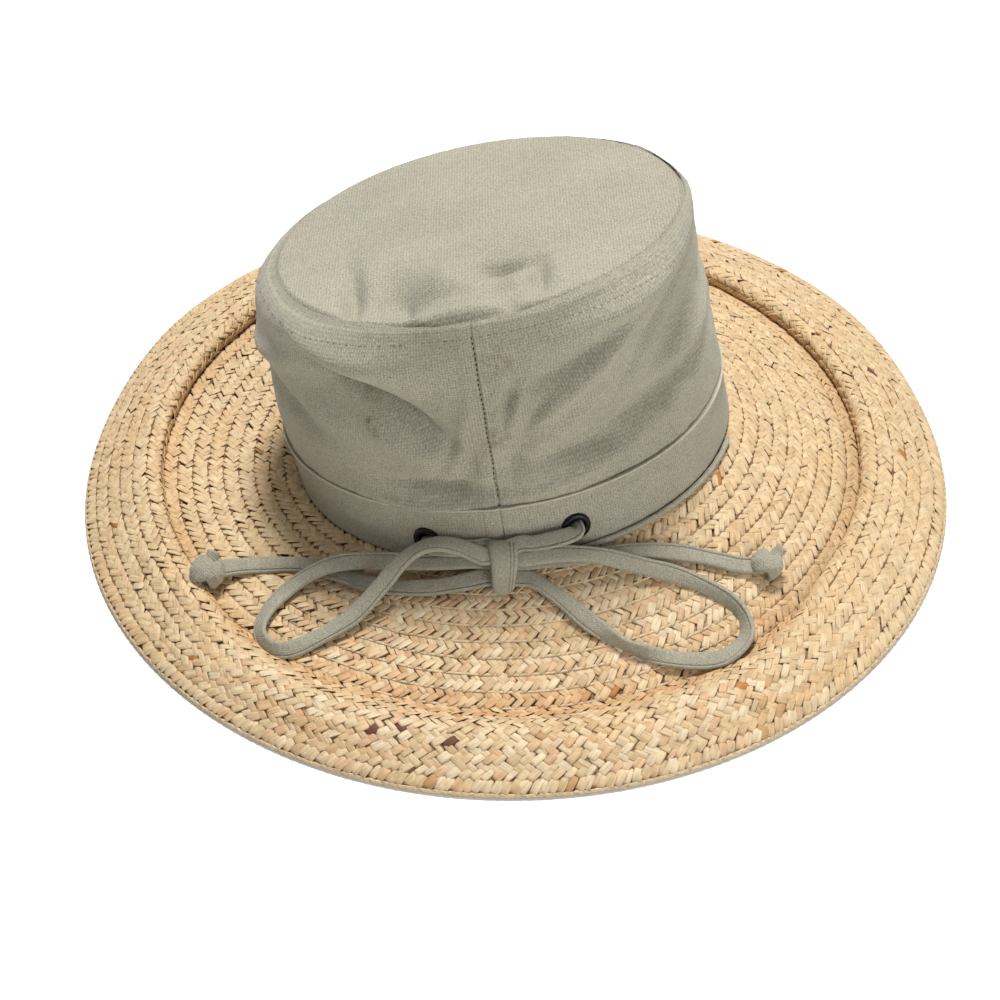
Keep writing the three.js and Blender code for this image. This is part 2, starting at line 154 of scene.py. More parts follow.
# %% Shader helpers
def new_finish(name, **settings):
    """A material with its shader's own sockets set, and the shader to link the rest to."""
    material = bpy.data.materials.new(name)
    material.use_nodes = True
    shader = material.node_tree.nodes["Principled BSDF"]
    for socket, value in settings.items():
        shader.inputs[socket.replace("_", " ")].default_value = value
    return material, shader


def add_node(tree, kind, inputs=(), **settings):
    node = tree.nodes.new("ShaderNode" + kind)
    for name, value in settings.items():
        setattr(node, name, value)
    for socket, value in dict(inputs).items():
        if isinstance(value, bpy.types.NodeSocket):
            tree.links.new(value, node.inputs[socket])
        else:
            node.inputs[socket].default_value = value
    return node


def maths(tree, operation, first, second=0.0):
    return add_node(tree, "Math", {0: first, 1: second}, operation=operation).outputs[0]


def noise(tree, place, scale, detail):
    return add_node(tree, "TexNoise", {"Vector": place, "Scale": scale, "Detail": detail}).outputs[0]


def blend_colours(tree, share, first, second, blend_type="MIX"):
    node = add_node(tree, "Mix", {0: share, 6: first, 7: second}, data_type="RGBA", blend_type=blend_type)
    return node.outputs[2]


def ramp(tree, value, stops):
    node = add_node(tree, "ValToRGB", {0: value})
    points = node.color_ramp.elements
    while len(points) < len(stops):
        points.new(0.5)
    for point, (place, shade) in zip(points, stops):
        point.position = place
        point.color = (shade, shade, shade, 1)
    return node.outputs[0]


def linear(code):
    """A colour from its usual six-digit code, for Blender's linear sockets."""
    parts = [int(code[i : i + 2], 16) / 255 for i in (0, 2, 4)]
    return tuple(((p + 0.055) / 1.055) ** 2.4 if p > 0.04045 else p / 12.92 for p in parts) + (1,)


# %% [markdown]
# ## Canvas
# The crown and the tie are of one washed cotton canvas. Its threads cross about a millimetre apart, and the
# tape's climb at an angle. The weave is two sine waves over the cloth's own metres. A noise shakes them, so
# that no thread is quite straight, and a finer noise is the yarn. They drive a bump and a slight change of
# shade. A slow noise fades the colour, as washing does.


# %% Canvas finish
def canvas_finish(name, light, dark, around_pitch, up_pitch, lean=0.0, bump=0.4, contrast=0.4, painted_shade_spots=()):
    """The two pitches are the spacings of the threads in metres, and lean tilts them as a twill's are."""
    material, shader = new_finish(name, Roughness=0.9, Specular_IOR_Level=0.15, Sheen_Weight=0.1)
    tree = material.node_tree
    cloth = add_node(tree, "UVMap", uv_map="cloth").outputs[0]
    split = add_node(tree, "SeparateXYZ", {0: cloth})
    place = add_node(tree, "TexCoord").outputs["Object"]
    uneven = add_node(tree, "Mapping", {0: cloth, "Scale": (880, 430, 1)}).outputs[0]
    shift = noise(tree, uneven, 1.0, 2.0)
    shift = maths(tree, "MULTIPLY", shift, 7.0)
    across, along = split.outputs[0], split.outputs[1]
    leaning = maths(tree, "ADD", across, maths(tree, "MULTIPLY", along, lean))
    warp = maths(tree, "ADD", maths(tree, "MULTIPLY", leaning, 2 * math.pi / around_pitch), shift)
    warp = maths(tree, "SINE", warp)
    crossing = maths(tree, "SUBTRACT", along, maths(tree, "MULTIPLY", across, 0.5 * lean))
    small_shift = maths(tree, "MULTIPLY", shift, 0.35)
    weft = maths(tree, "ADD", maths(tree, "MULTIPLY", crossing, 2 * math.pi / up_pitch), small_shift)
    weft = maths(tree, "SINE", weft)
    both = maths(tree, "MULTIPLY", warp, weft)
    yarn = add_node(tree, "Mapping", {0: cloth, "Scale": (1250, 950, 1)}).outputs[0]
    yarn = noise(tree, yarn, 1.0, 2.0)
    weave = maths(tree, "ADD", maths(tree, "MULTIPLY", warp, 0.1), maths(tree, "MULTIPLY", weft, 0.07))
    weave = maths(tree, "ADD", maths(tree, "ADD", weave, maths(tree, "MULTIPLY", both, 0.13)), yarn)
    fade = noise(tree, place, 22.0, 4.0)
    fade = ramp(tree, fade, [(0.3, 0.0), (0.7, 1.0)])
    slub = noise(tree, cloth, 260.0, 5.0)
    share = maths(tree, "ADD", maths(tree, "MULTIPLY", weave, contrast), maths(tree, "MULTIPLY", fade, 0.1))
    share = maths(tree, "ADD", share, maths(tree, "MULTIPLY", slub, 0.9 - contrast))
    colour = blend_colours(tree, share, linear(dark), linear(light))
    # Painted shade: a blotchy brown darkening round each spot, where the wall lies in shade
    for spot, reach, strength in painted_shade_spots:
        gap = add_node(tree, "VectorMath", {0: place, 1: spot}, operation="DISTANCE").outputs["Value"]
        painted_shade_mottle = noise(tree, place, 260.0, 4.0)
        painted_shade_mottle = ramp(tree, painted_shade_mottle, [(0.42, 0.0), (0.62, 1.0)])
        near = maths(tree, "SUBTRACT", 1.0, maths(tree, "DIVIDE", gap, reach))
        near = maths(tree, "MAXIMUM", near, 0.0)
        near = maths(tree, "MULTIPLY", near, maths(tree, "MULTIPLY", painted_shade_mottle, strength))
        colour = blend_colours(tree, near, colour, linear("5f4c33"))
    tree.links.new(colour, shader.inputs["Base Color"])
    relief = add_node(tree, "Bump", {"Height": weave, "Strength": bump, "Distance": 0.3 * mm})
    slow = add_node(tree, "Bump", {"Height": slub, "Strength": 0.35, "Distance": 0.6 * mm})
    tree.links.new(slow.outputs[0], relief.inputs["Normal"])
    tree.links.new(relief.outputs[0], shader.inputs["Normal"])
    return material


# Painted shade: each spot is a place on the wall where it lies in shade, a reach and a strength
wall_painted_shade_spots = [((-0.0561, -0.0651, 0.0995), 0.007, 1.1), ((-0.0558, -0.0704, 0.0866), 0.008, 0.8),
               ((-0.0058, -0.0799, 0.1221), 0.006, 0.8), ((-0.0062, -0.0846, 0.0887), 0.006, 0.8)]
canvas = canvas_finish("canvas", "c4beab", "4f4a3c", 1.15 * mm, 1.2 * mm, bump=0.8, contrast=0.7,
                       painted_shade_spots=wall_painted_shade_spots)
tape_canvas = canvas_finish("tape canvas", "bcb7a3", "5c584c", 1.05 * mm, 1.0 * mm, 0.8, bump=0.9,
                            contrast=0.65)
# A paler copy of the canvas for the casing's piping: a painted highlight on its folded edge
canvas_painted_highlight = canvas_finish("canvas painted highlight", "d0cab5", "8d8673", 1.1 * mm, 1.0 * mm, 0.6, bump=0.6)
thread, _ = new_finish("thread", Roughness=0.8, Base_Color=linear("6a675a"))
dark_thread, _ = new_finish("dark thread", Roughness=0.8, Base_Color=linear("2f2c23"))

# %% [markdown]
# ## The hat's rings
# The crown's foot and its tip seam are two tilted rings, and the canvas wall hangs between them. The numbers
# are the same as in the CAD, so that each piece here lies on its solid. A turn is an angle round the hat in
# degrees, and a rise goes from 0 at the foot to 1 at the tip seam.

# %% Rings and wall
straw_thickness = 2.5 * mm
canvas_thickness = 2 * mm
seam_gap = 0.3 * mm
brim_radius = 185.5 * mm
rim_width = 35 * mm
rim_height = 18 * mm
crease_height = 10.8 * mm
front_lift = 6 * mm
crease_shift_x = -1.5 * mm
crease_radius = brim_radius - rim_width
head_radius = 90.3 * mm
base_radius = head_radius + canvas_thickness
crown_height = 102 * mm
band_height = 25 * mm
tip_radius = 81.8 * mm
tip_dome = 3 * mm
tip_oval = 2.6 * mm
tip_oval_turn = 158
base_centre = np.array((-1, 0, 22.7)) * mm
tip_centre = np.array((-13.6, 3.6, 124.7)) * mm
base_tilt = (7.5, 6.4)
tip_tilt = (12.1, 9.2)


def tilted_ring(turn, radius, centre, tilt):
    along, back = radius * np.cos(np.radians(turn)), radius * np.sin(np.radians(turn))
    lift = along * math.tan(math.radians(tilt[0])) - back * math.tan(math.radians(tilt[1]))
    return np.stack(np.broadcast_arrays(along, back, lift), axis=-1) + centre


def base_point(turn, radius):
    return tilted_ring(turn, radius, base_centre, base_tilt)


def tip_edge_point(turn, radius, share=1.0):
    oval = tip_oval * np.cos(2 * np.radians(turn - tip_oval_turn))
    return tilted_ring(turn, radius + oval * share, tip_centre, tip_tilt)


# turn, rise, lean, long, across, out, the last three as shares of the crown's height
wall_folds = [
    (180, 0.8, 0, 0.75, 0.3, 0.085),
    (192, 0.36, 0, 0.45, 0.2, 0.04),
    (236, 0.9, -6, 0.4, 0.1, 0.035),
    (238, 0.72, -30, 0.36, 0.07, -0.035),
    (230, 0.52, -8, 0.36, 0.12, 0.022),
    (256, 0.32, -10, 0.2, 0.035, -0.028),
    (310, 0.88, 8, 0.42, 0.08, 0.03),
    (288, 0.68, 26, 0.3, 0.06, 0.024),
    (326, 0.66, 20, 0.36, 0.12, -0.022),
    (300, 0.46, 5, 0.55, 0.07, -0.024),
    (300, 0.36, 6, 0.5, 0.06, 0.018),
    (60, 0.5, 25, 0.5, 0.12, -0.03),
    (110, 0.6, -30, 0.5, 0.12, 0.025),
]
# Creases that are too fine for the solids, in the same terms, and how deep they all are
crease_depth = 1.3
wall_creases = [
    (228, 0.66, -32, 0.26, 0.07, -0.03),
    (296, 0.6, 34, 0.26, 0.06, 0.024),
    (276, 0.5, 62, 0.2, 0.05, -0.022),
    (262, 0.42, 60, 0.16, 0.04, -0.014),
    (330, 0.66, 26, 0.3, 0.07, -0.024),
    (226, 0.9, -12, 0.34, 0.07, 0.037),
    (233, 0.76, -26, 0.3, 0.035, -0.044),
    (250, 0.6, -38, 0.2, 0.03, -0.037),
    (240, 0.55, -30, 0.3, 0.05, 0.027),
    (256, 0.33, -6, 0.24, 0.028, -0.027),
    (247, 0.25, -4, 0.3, 0.025, 0.02),
    (262, 0.6, 70, 0.1, 0.03, 0.014),
    (274, 0.66, 74, 0.09, 0.022, -0.02),
    (278, 0.7, 60, 0.09, 0.02, 0.017),
    (280, 0.6, 50, 0.09, 0.02, -0.017),
    (258, 0.5, 60, 0.1, 0.03, -0.014),
    (312, 0.93, 4, 0.4, 0.05, 0.034),
    (300, 0.81, 16, 0.3, 0.03, -0.024),
    (294, 0.7, 30, 0.32, 0.04, 0.031),
    (322, 0.74, 24, 0.34, 0.05, -0.034),
    (336, 0.58, 14, 0.3, 0.05, 0.024),
    (316, 0.46, 8, 0.4, 0.045, -0.031),
    (290, 0.4, -4, 0.2, 0.03, -0.024),
    (284, 0.3, 8, 0.2, 0.025, 0.017),
    (206, 0.55, -14, 0.34, 0.05, -0.031),
    (196, 0.75, 10, 0.3, 0.05, 0.024),
    (150, 0.55, 20, 0.35, 0.06, -0.037),
    (30, 0.4, -18, 0.35, 0.05, 0.034),
    (84, 0.75, 12, 0.35, 0.05, -0.034),
    (104, 0.4, -16, 0.35, 0.06, 0.034),
    (128, 0.35, -12, 0.3, 0.05, 0.031),
    (0, 0.72, 16, 0.3, 0.05, -0.031),
]


def fold_offset(turn, rise, folds):
    offset = 0
    for fold_turn, fold_rise, lean, long, across, out in folds:
        apart = (turn - fold_turn + 180) % 360 - 180
        aside = np.radians(apart) * head_radius / crown_height
        above = rise - fold_rise
        cosine, sine = math.cos(math.radians(lean)), math.sin(math.radians(lean))
        along_fold = (aside * cosine + above * sine) / long
        across_fold = (above * cosine - aside * sine) / across
        offset = offset + out * np.exp(-(along_fold**2) - across_fold**2)
    foot = np.minimum(1, rise / 0.1)
    shoulder = np.clip((1 - rise) / 0.1, 0, 1)
    return offset * crown_height * foot * np.sqrt(1 - (1 - shoulder) ** 2)


def wall_point(turn, rise, depth=0.0, fine=0.0):
    turn, rise = np.broadcast_arrays(np.asarray(turn, float), np.asarray(rise, float))
    low, high = base_point(turn, base_radius - depth), tip_edge_point(turn, tip_radius - depth)
    point = low + (high - low) * rise[..., None]
    out = fold_offset(turn, rise, wall_folds) + fine
    point[..., 0] += out * np.cos(np.radians(turn))
    point[..., 1] += out * np.sin(np.radians(turn))
    return point


def wall_normal(turn, rise):
    step = 0.01
    around = wall_point(turn + 1, rise) - wall_point(turn - 1, rise)
    up = wall_point(turn, np.minimum(1, rise + step)) - wall_point(turn, np.maximum(0, rise - step))
    normal = np.cross(around, up)
    return normal / np.linalg.norm(normal, axis=-1, keepdims=True)


# %% [markdown]
# ## The drawstring
# The tie is one flat tape of folded canvas, 7 mm wide. Each side comes out of its eyelet, goes through the
# bow's knot, makes the other side's loop, goes through the knot again and ends in an overhand knot. A curve
# with a bevel would do for a round cord. A tape has to turn and twist, so its outline is swept in code, and
# each point of the route says how far the tape is rolled away from the camera's side.

# %% Routes of the tape in millimetres, each with the tape's roll in degrees
tape_width = 7 * mm
tape_thickness = 2.2 * mm
lead_left = [
    (-34.6, -83.3, 37.8, 30), (-35.6, -86.2, 38.1, 30), (-36, -88, 38.4, 20), (-34.8, -89.5, 38.9, 10),
    (-30.5, -91.6, 39.9, 0), (-25, -93.2, 41, 0), (-20, -94, 41.8, 0), (-15, -94.4, 42.3, 0),
    (-11.6, -94.4, 42.3, 0),
]
loop_left = [
    (-11.6, -99.2, 42.3, 0), (-16, -99, 43.2, 0), (-23, -97, 45.3, 10), (-31, -95.5, 45.8, 20),
    (-39, -95.2, 42.8, 25), (-47, -97.5, 37, 15), (-54.3, -102.5, 30, 5), (-65.8, -110.5, 21.5, 0),
    (-81, -117.5, 16.2, 0), (-91.5, -120.5, 14, -20), (-99, -117.5, 14, -45), (-102.5, -109, 14, -50),
    (-99.5, -99, 15.5, -35), (-90, -89.5, 19, -20), (-79.5, -86.5, 24.5, -10), (-69, -86, 28, 0),
    (-53.5, -88.5, 30.5, 10), (-37, -92.5, 33, 0), (-23, -95, 36, 0), (-16, -96, 37, 0),
    (-11.6, -96.3, 37, 0),
]
tail_left = [
    (-11.6, -101.5, 33, 0), (-17, -101.5, 31.8, 0), (-24, -101.5, 30, 0), (-35, -101, 27.5, 0),
    (-49.5, -98, 25, 5), (-61.5, -93, 23, 15), (-73.5, -85.5, 21.5, 10), (-85.5, -79, 19.5, 0),
    (-101, -75.5, 17, 0), (-112, -76, 17, 0), (-121.5, -80, 19.5, 0),
]
lead_right = [
    (22.1, -86.1, 46.2, 20), (22.9, -89, 46.6, 20), (23, -90.9, 46.9, 15), (21.2, -92.6, 46.9, 10),
    (17, -94.2, 46.6, 5), (11, -95.2, 45.8, 0), (5, -95.5, 44.8, 0), (0.6, -95.5, 44.8, 0),
]
loop_right = [
    (0.6, -99.8, 41.7, 0), (5, -99.8, 41.7, 0), (12, -98.8, 42, 0), (21, -98, 41.5, 0), (32, -98, 40, 5),
    (47, -98.5, 35, 15), (63.5, -99, 29, 25), (75.5, -102, 24.5, 35), (84, -106, 20.5, 45),
    (88.5, -111.5, 17, 50), (88.5, -119, 15, 45), (83, -126, 14, 30), (74.5, -130.5, 14, 5),
    (57.5, -132, 16.8, 0), (41.5, -128, 20.5, -70), (29, -121.5, 25, -20), (18, -112.5, 29, 0),
    (10, -106, 31.5, 20), (5, -103, 32.8, 10), (0.6, -102.5, 33, 0),
]
tail_right = [
    (0.6, -97, 36.8, 0), (5, -97, 36.8, 0), (12, -96, 36.5, 0), (22.5, -95, 36.5, 0), (34, -93.5, 36.2, -15),
    (48, -91, 35.5, -20), (64, -89.5, 32.5, -5), (78, -89.5, 28.5, 0), (87.5, -89.5, 25.2, 0),
    (95.5, -89.2, 24, 0),
]


# %% A smooth line through the points, with an even step
def smooth_route(points, step=0.9 * mm):
    """Catmull-Rom through the points. The last column is the roll in degrees."""
    points = np.array(points, float)
    points[:, :3] *= mm
    padded = np.vstack([2 * points[0] - points[1], points, 2 * points[-1] - points[-2]])
    dense = []
    share = np.linspace(0, 1, 24, endpoint=False)[:, None]
    for a, b, c, d in zip(padded, padded[1:], padded[2:], padded[3:]):
        square, cube = share**2, share**3
        dense.append(0.5 * (2 * b + (c - a) * share + (2 * a - 5 * b + 4 * c - d) * square
                            + (3 * b - a - 3 * c + d) * cube))
    dense = np.vstack(dense + [points[-1:]])
    run = run_along(dense[:, :3])
    even = np.linspace(0, run[-1], int(run[-1] / step) + 1)
    return np.stack([np.interp(even, run, dense[:, axis]) for axis in range(4)], axis=1), run[-1]


# %% The tape's outline: two layers with a fold line near one edge
tape_outline = np.array([
    (-0.5, 0.0), (-0.485, 0.3), (-0.44, 0.46), (-0.38, 0.5), (-0.335, 0.44), (-0.31, 0.2), (-0.285, 0.44),
    (-0.24, 0.5), (-0.1, 0.52), (0.1, 0.52), (0.3, 0.5), (0.42, 0.44), (0.48, 0.28), (0.5, 0.0),
    (0.48, -0.28), (0.42, -0.44), (0.3, -0.5), (0.1, -0.5), (-0.1, -0.5), (-0.24, -0.5), (-0.285, -0.42),
    (-0.31, -0.3), (-0.335, -0.42), (-0.38, -0.48), (-0.44, -0.44), (-0.485, -0.28),
])
camera_side = np.array((0, -0.5, 0.866))


def make_tape(name, route):
    route, length = smooth_route(route)
    centre, roll = route[:, :3], np.radians(route[:, 3])
    along = np.gradient(centre, axis=0)
    along /= np.linalg.norm(along, axis=1, keepdims=True)
    facing = camera_side - along * (along @ camera_side)[:, None]
    facing /= np.linalg.norm(facing, axis=1, keepdims=True)
    side = np.cross(along, facing)
    normal = facing * np.cos(roll)[:, None] + side * np.sin(roll)[:, None]
    side = np.cross(along, normal)
    run = np.linspace(0, length, len(centre))
    swell = 1 + 0.05 * np.sin(run / (9 * mm)) + 0.04 * np.sin(run / (3.7 * mm) + 1)
    wide = tape_outline[:, 0][None, :, None] * tape_width * side[:, None, :] * (2 - swell)[:, None, None]
    thick = tape_outline[:, 1][None, :, None] * tape_thickness * normal[:, None, :] * swell[:, None, None]
    points = centre[:, None, :] + wide + thick
    count = len(tape_outline)
    faces, places = grid_faces(len(centre), count, False, True)
    section = np.vstack([tape_outline, tape_outline[:1]]) * (tape_width, tape_thickness)
    around = run_along(section)
    station = np.minimum(places[..., 0], len(run) - 1).astype(int)
    cloth = np.stack([around[places[..., 1].astype(int)], run[station]], axis=-1)
    start = list(range(count))
    end = [(len(centre) - 1) * count + index for index in reversed(range(count))]
    faces = [list(face) for face in faces] + [start, end]
    cloth = np.vstack([cloth.reshape(-1, 2), np.zeros((2 * count, 2))])
    return make_piece(name, points, faces, tape_canvas, cloth), centre, length


tie_left, line_left, length_left = make_tape("tie_left", lead_left + loop_right + tail_left)
tie_right, line_right, length_right = make_tape("tie_right", lead_right + loop_left + tail_right)
print("tape lengths", round(length_left, 4), round(length_right, 4))

# %% [markdown]
# ## The knots
# The bow's knot is one turn of the tape round the strands: a short sleeve with rounded edges, two fold lines
# near its right edge and a pinched lower end. The free ends end in overhand knots. Such a knot is a tape
# pulled tight over itself, so two crossed bands, a core and the loose end are remeshed into one closed skin.

# %% Bow knot
knot_centre = np.array((-5.5, -99.9, 38.2)) * mm
knot_lean = math.radians(48)
knot_width, knot_length, knot_depth = 10.4 * mm, 19.4 * mm, 11.4 * mm


def make_bow_knot():
    columns, rows = 56, 96
    across = np.linspace(-1, 1, columns)[:, None]
    angle = np.linspace(0, 2 * math.pi, rows, endpoint=False)[None, :]
    shoulder = np.sqrt(np.clip(1 - np.abs(across) ** 6, 0, 1))
    groove = sum(depth * np.exp(-((across - at) / 0.045) ** 2) for at, depth in ((0.42, 0.07), (0.68, 0.08)))
    pinch = 0.24 * np.exp(-((angle - 1.5 * math.pi) / 0.45) ** 2) * (1 - 0.8 * across**2)
    size = (0.72 + 0.28 * shoulder) * (1 - groove) * (1 + 0.015 * np.sin(3 * angle + 2 * across))
    up = knot_length / 2 * np.sin(angle) * (size + pinch)
    out = knot_depth / 2 * np.cos(angle) * (size - 0.5 * pinch)
    bow = 0.6 * mm * np.sin(angle) ** 2
    x = knot_width / 2 * across * (1 + 0.12 * np.sin(angle)) - bow
    cosine, sine = math.cos(knot_lean), math.sin(knot_lean)
    points = np.stack([x, up * cosine - out * sine, up * sine + out * cosine], axis=-1)
    return points, columns, rows


def sleeve_piece(name, points, columns, rows, material, wide, round_length):
    """A sleeve that is open at no end: its two end rings are closed by fans."""
    faces, places = grid_faces(columns, rows, False, True)
    cloth = np.stack([places[..., 0] / columns * wide, places[..., 1] / rows * round_length], axis=-1)
    ends = [list(range(rows)), [(columns - 1) * rows + row for row in reversed(range(rows))]]
    cloth = np.vstack([cloth.reshape(-1, 2), np.zeros((2 * rows, 2))])
    return make_piece(name, points, [list(face) for face in faces] + ends, material, cloth)


knot_points, knot_columns, knot_rows = make_bow_knot()
bow_knot = sleeve_piece("bow_knot_wrap", knot_points + knot_centre, knot_columns, knot_rows, tape_canvas,
                        knot_width, 47 * mm)
finish_piece(bow_knot, "canvas", "bow_knot")

# %% End knots
knot_skin_step = 0.34 * mm


def remeshed(name, points, faces, step):
    """One closed skin round parts that run into each other."""
    rough = bpy.data.meshes.new(name + " rough")
    rough.from_pydata(np.asarray(points).reshape(-1, 3).tolist(), [], [list(face) for face in faces])
    holder = bpy.data.objects.new(name + " rough", rough)
    bpy.context.scene.collection.objects.link(holder)
    skin = holder.modifiers.new("skin", "REMESH")
    skin.mode, skin.voxel_size = "VOXEL", step
    soften = holder.modifiers.new("soften", "SMOOTH")
    soften.factor, soften.iterations = 0.5, 3
    made = holder.evaluated_get(bpy.context.evaluated_depsgraph_get()).to_mesh()
    skin_points = np.array([vertex.co for vertex in made.vertices])
    skin_faces = [list(face.vertices) for face in made.polygons]
    bpy.data.objects.remove(holder)
    return skin_points, skin_faces


def sweep_points(line, wide, thick, up, closed, sides=18):
    """An oval section swept along a line, with its flat side towards up."""
    if closed:
        along = np.roll(line, -1, axis=0) - np.roll(line, 1, axis=0)
    else:
        along = np.gradient(line, axis=0)
    along /= np.linalg.norm(along, axis=1, keepdims=True)
    normal = up - along * np.sum(along * up, axis=1, keepdims=True)
    normal /= np.linalg.norm(normal, axis=1, keepdims=True)
    side = np.cross(along, normal)
    angle = np.linspace(0, 2 * math.pi, sides, endpoint=False)
    c, s = np.cos(angle), np.sin(angle)
    oval_wide = np.sign(c) * np.abs(c) ** 0.7 * wide / 2
    oval_thick = np.sign(s) * np.abs(s) ** 0.7 * thick / 2
    wide_part = oval_wide[:, None] * side[:, None, :]
    thick_part = oval_thick[:, None] * normal[:, None, :]
    points = line[:, None, :] + wide_part + thick_part
    faces, _ = grid_faces(len(line), sides, closed, True)
    faces = [list(face) for face in faces]
    if not closed:
        faces += [list(range(sides)), [(len(line) - 1) * sides + k for k in reversed(range(sides))]]
    return points.reshape(-1, 3), faces


def make_end_knot(name, centre, turn, tilt, stub, size):
    """Two crossed bands of tape pulled tight round a core, with the free end sticking out."""
    t = np.linspace(0, 2 * math.pi, 72, endpoint=False)
    parts = []
    for spin, lean, reach_out, reach_up in ((90, 0, 4.8, 3.7), (28, 10, 4.7, 3.1)):
        band = np.stack([0 * t, reach_out * np.cos(t), reach_up * np.sin(t)], axis=1) * mm
        spun = Matrix.Rotation(math.radians(spin), 3, "Z")
        aim = np.array(spun @ Matrix.Rotation(math.radians(lean), 3, "Y"))
        outward = (band / (reach_out, reach_out, reach_up)) @ aim.T
        parts.append(sweep_points(band @ aim.T, 5.6 * mm, 2.4 * mm, outward, True))
    core_line = np.linspace((-3.4, 0, 0), (3.4, 0, 0), 8) * mm
    core_up = np.array((0, 0, 1.0)) + 0 * core_line
    parts.append(sweep_points(core_line, 6.4 * mm, 5.4 * mm, core_up, False))
    stub_line = np.linspace((0, 0, 0), np.array(stub) * mm, 10)
    stub_up = np.array((0.1, 0.2, 1.0)) + 0 * stub_line
    parts.append(sweep_points(stub_line, 4.4 * mm, 2.4 * mm, stub_up, False))
    all_points, all_faces = [], []
    for part_points, part_faces in parts:
        start = sum(len(block) for block in all_points)
        all_faces += [[index + start for index in face] for face in part_faces]
        all_points.append(part_points)
    points, faces = remeshed(name, np.vstack(all_points), all_faces, knot_skin_step)
    flat = np.stack([points[:, 0] + 0.4 * points[:, 2], points[:, 1] - 0.4 * points[:, 2]], axis=1)
    cloth = flat[np.array(faces)]
    spin = Matrix.Rotation(math.radians(turn), 3, "Z") @ Matrix.Rotation(math.radians(tilt), 3, "X")
    points = size * points @ np.array(spin).T + np.array(centre) * mm
    return make_piece(name, points, faces, tape_canvas, cloth)


end_knot_left = make_end_knot("tie_end_left", (-125.0, -82.0, 20.0), 12, 44, (3.2, 6.6, 1.6), 1.2)
end_knot_right = make_end_knot("tie_end_right", (99.0, -88.6, 24), 8, 40, (6.4, 5.4, 1.4), 1.12)
finish_piece(end_knot_left, "canvas", "end_knot_left")
finish_piece(end_knot_right, "canvas", "end_knot_right")
finish_piece(tie_left, "canvas", "lead_left", "loop_right", "tail_left")
finish_piece(tie_right, "canvas", "lead_right", "loop_left", "tail_right")

# %% [markdown]
# ## The brim's surface
# The brim runs flat and a little downhill to a crease, then rolls up and over and falls to its outer edge.
# The rows of braid are counted outwards from the crown, so a place on the brim is a turn and a row. The
# surface is worked out once as a fine grid, and any place on it is then read between the grid's points.

# %% Brim surface
flat_rows = 9
rolled_rows = 7
foot_row = -0.2
edge_wrap = 0.55
foot_radius = head_radius + 0.2 * mm
rim_section = np.array([
    (0.0, 0.6, 0.0, 0.6), (0.012, 0.69, 0.09, 0.63), (-0.012, 0.81, 0.18, 0.7), (0.02, 0.94, 0.27, 0.78),
    (0.1, 1.0, 0.36, 0.83), (0.23, 0.98, 0.46, 0.83), (0.4, 0.85, 0.58, 0.75), (0.6, 0.63, 0.71, 0.6),
    (0.8, 0.4, 0.84, 0.39), (0.94, 0.21, 0.95, 0.21), (1.0, 0.11, 1.0, 0.11), (0.998, 0.04, 0.998, 0.04),
    (0.98, 0.018, 0.98, 0.018), (0.935, 0.018, 0.935, 0.018),
])
turn_pitch = 0.5
grid_turns = np.linspace(0, 360, 721)
rows_end = flat_rows + rolled_rows
grid_rows = np.linspace(foot_row, rows_end + edge_wrap, 16 * rows_end + 12)


def brim_rings(turn):
    """Radius, height and sideways shift of the upper face at each ring, for an array of turns."""
    turn = turn[:, None]
    past = np.abs((turn - 268 + 180) % 360 - 180) - 34
    rolled = smoothstep(past, 0, 26)
    out = rim_section[:, 2] + (rim_section[:, 0] - rim_section[:, 2]) * rolled
    up = rim_section[:, 3] + (rim_section[:, 1] - rim_section[:, 3]) * rolled
    lift = front_lift * smoothstep(np.sin(np.radians(turn)), 0.1, 0.6)
    rim_r = crease_radius + rim_width * out
    rim_z = rim_height * up + lift * np.maximum(0, out) ** 2
    rim_x = crease_shift_x * np.minimum(1, 1 - out)
    foot_r = np.full_like(turn, foot_radius)
    foot_z = base_point(turn, foot_radius)[..., 2]
    foot_x = np.full_like(turn, base_centre[0])
    share = np.array([0.25, 0.5, 0.75])
    flat_r = foot_r + (crease_radius - foot_r) * share
    flat_z = foot_z + (crease_height - foot_z) * share
    flat_x = foot_x + (crease_shift_x - foot_x) * share
    parts = (foot_r, flat_r, rim_r), (foot_z, flat_z, rim_z), (foot_x, flat_x, rim_x)
    return [np.hstack(part) for part in parts]


def brim_grid():
    radius, height, shift = brim_rings(grid_turns)
    rings = np.stack([radius, height, shift], axis=-1)
    before = 2 * rings[:, :1] - rings[:, 1:2]
    after = 2 * rings[:, -1:] - rings[:, -2:-1]
    rings = np.concatenate([before, rings, after], axis=1)
    steps = 10
    share = np.linspace(0, 1, steps, endpoint=False)[None, None, :, None]
    a, b, c, d = (rings[:, k : rings.shape[1] - 3 + k, None, :] for k in range(4))
    dense = 0.5 * (2 * b + (c - a) * share + (2 * a - 5 * b + 4 * c - d) * share**2
                   + (3 * b - a - 3 * c + d) * share**3)
    dense = dense.reshape(len(grid_turns), -1, 3)
    pieces_long = np.linalg.norm(np.diff(dense[..., :2], axis=1), axis=-1)
    run = np.concatenate([np.zeros((len(grid_turns), 1)), np.cumsum(pieces_long, axis=1)], axis=1)
    crease_at, edge_at = 4 * steps, (4 + 10) * steps
    made = np.empty((len(grid_turns), len(grid_rows), 3))
    for index in range(len(grid_turns)):
        knots = [foot_row, flat_rows, rows_end, rows_end + edge_wrap]
        lengths = [0, run[index, crease_at], run[index, edge_at], run[index, -1]]
        wanted = np.interp(grid_rows, knots, lengths)
        for axis in range(3):
            made[index, :, axis] = np.interp(wanted, run[index], dense[index, :, axis])
    turn = np.radians(grid_turns)[:, None]
    across, back = made[..., 2] + made[..., 0] * np.cos(turn), made[..., 0] * np.sin(turn)
    return np.stack([across, back, made[..., 1]], axis=-1)


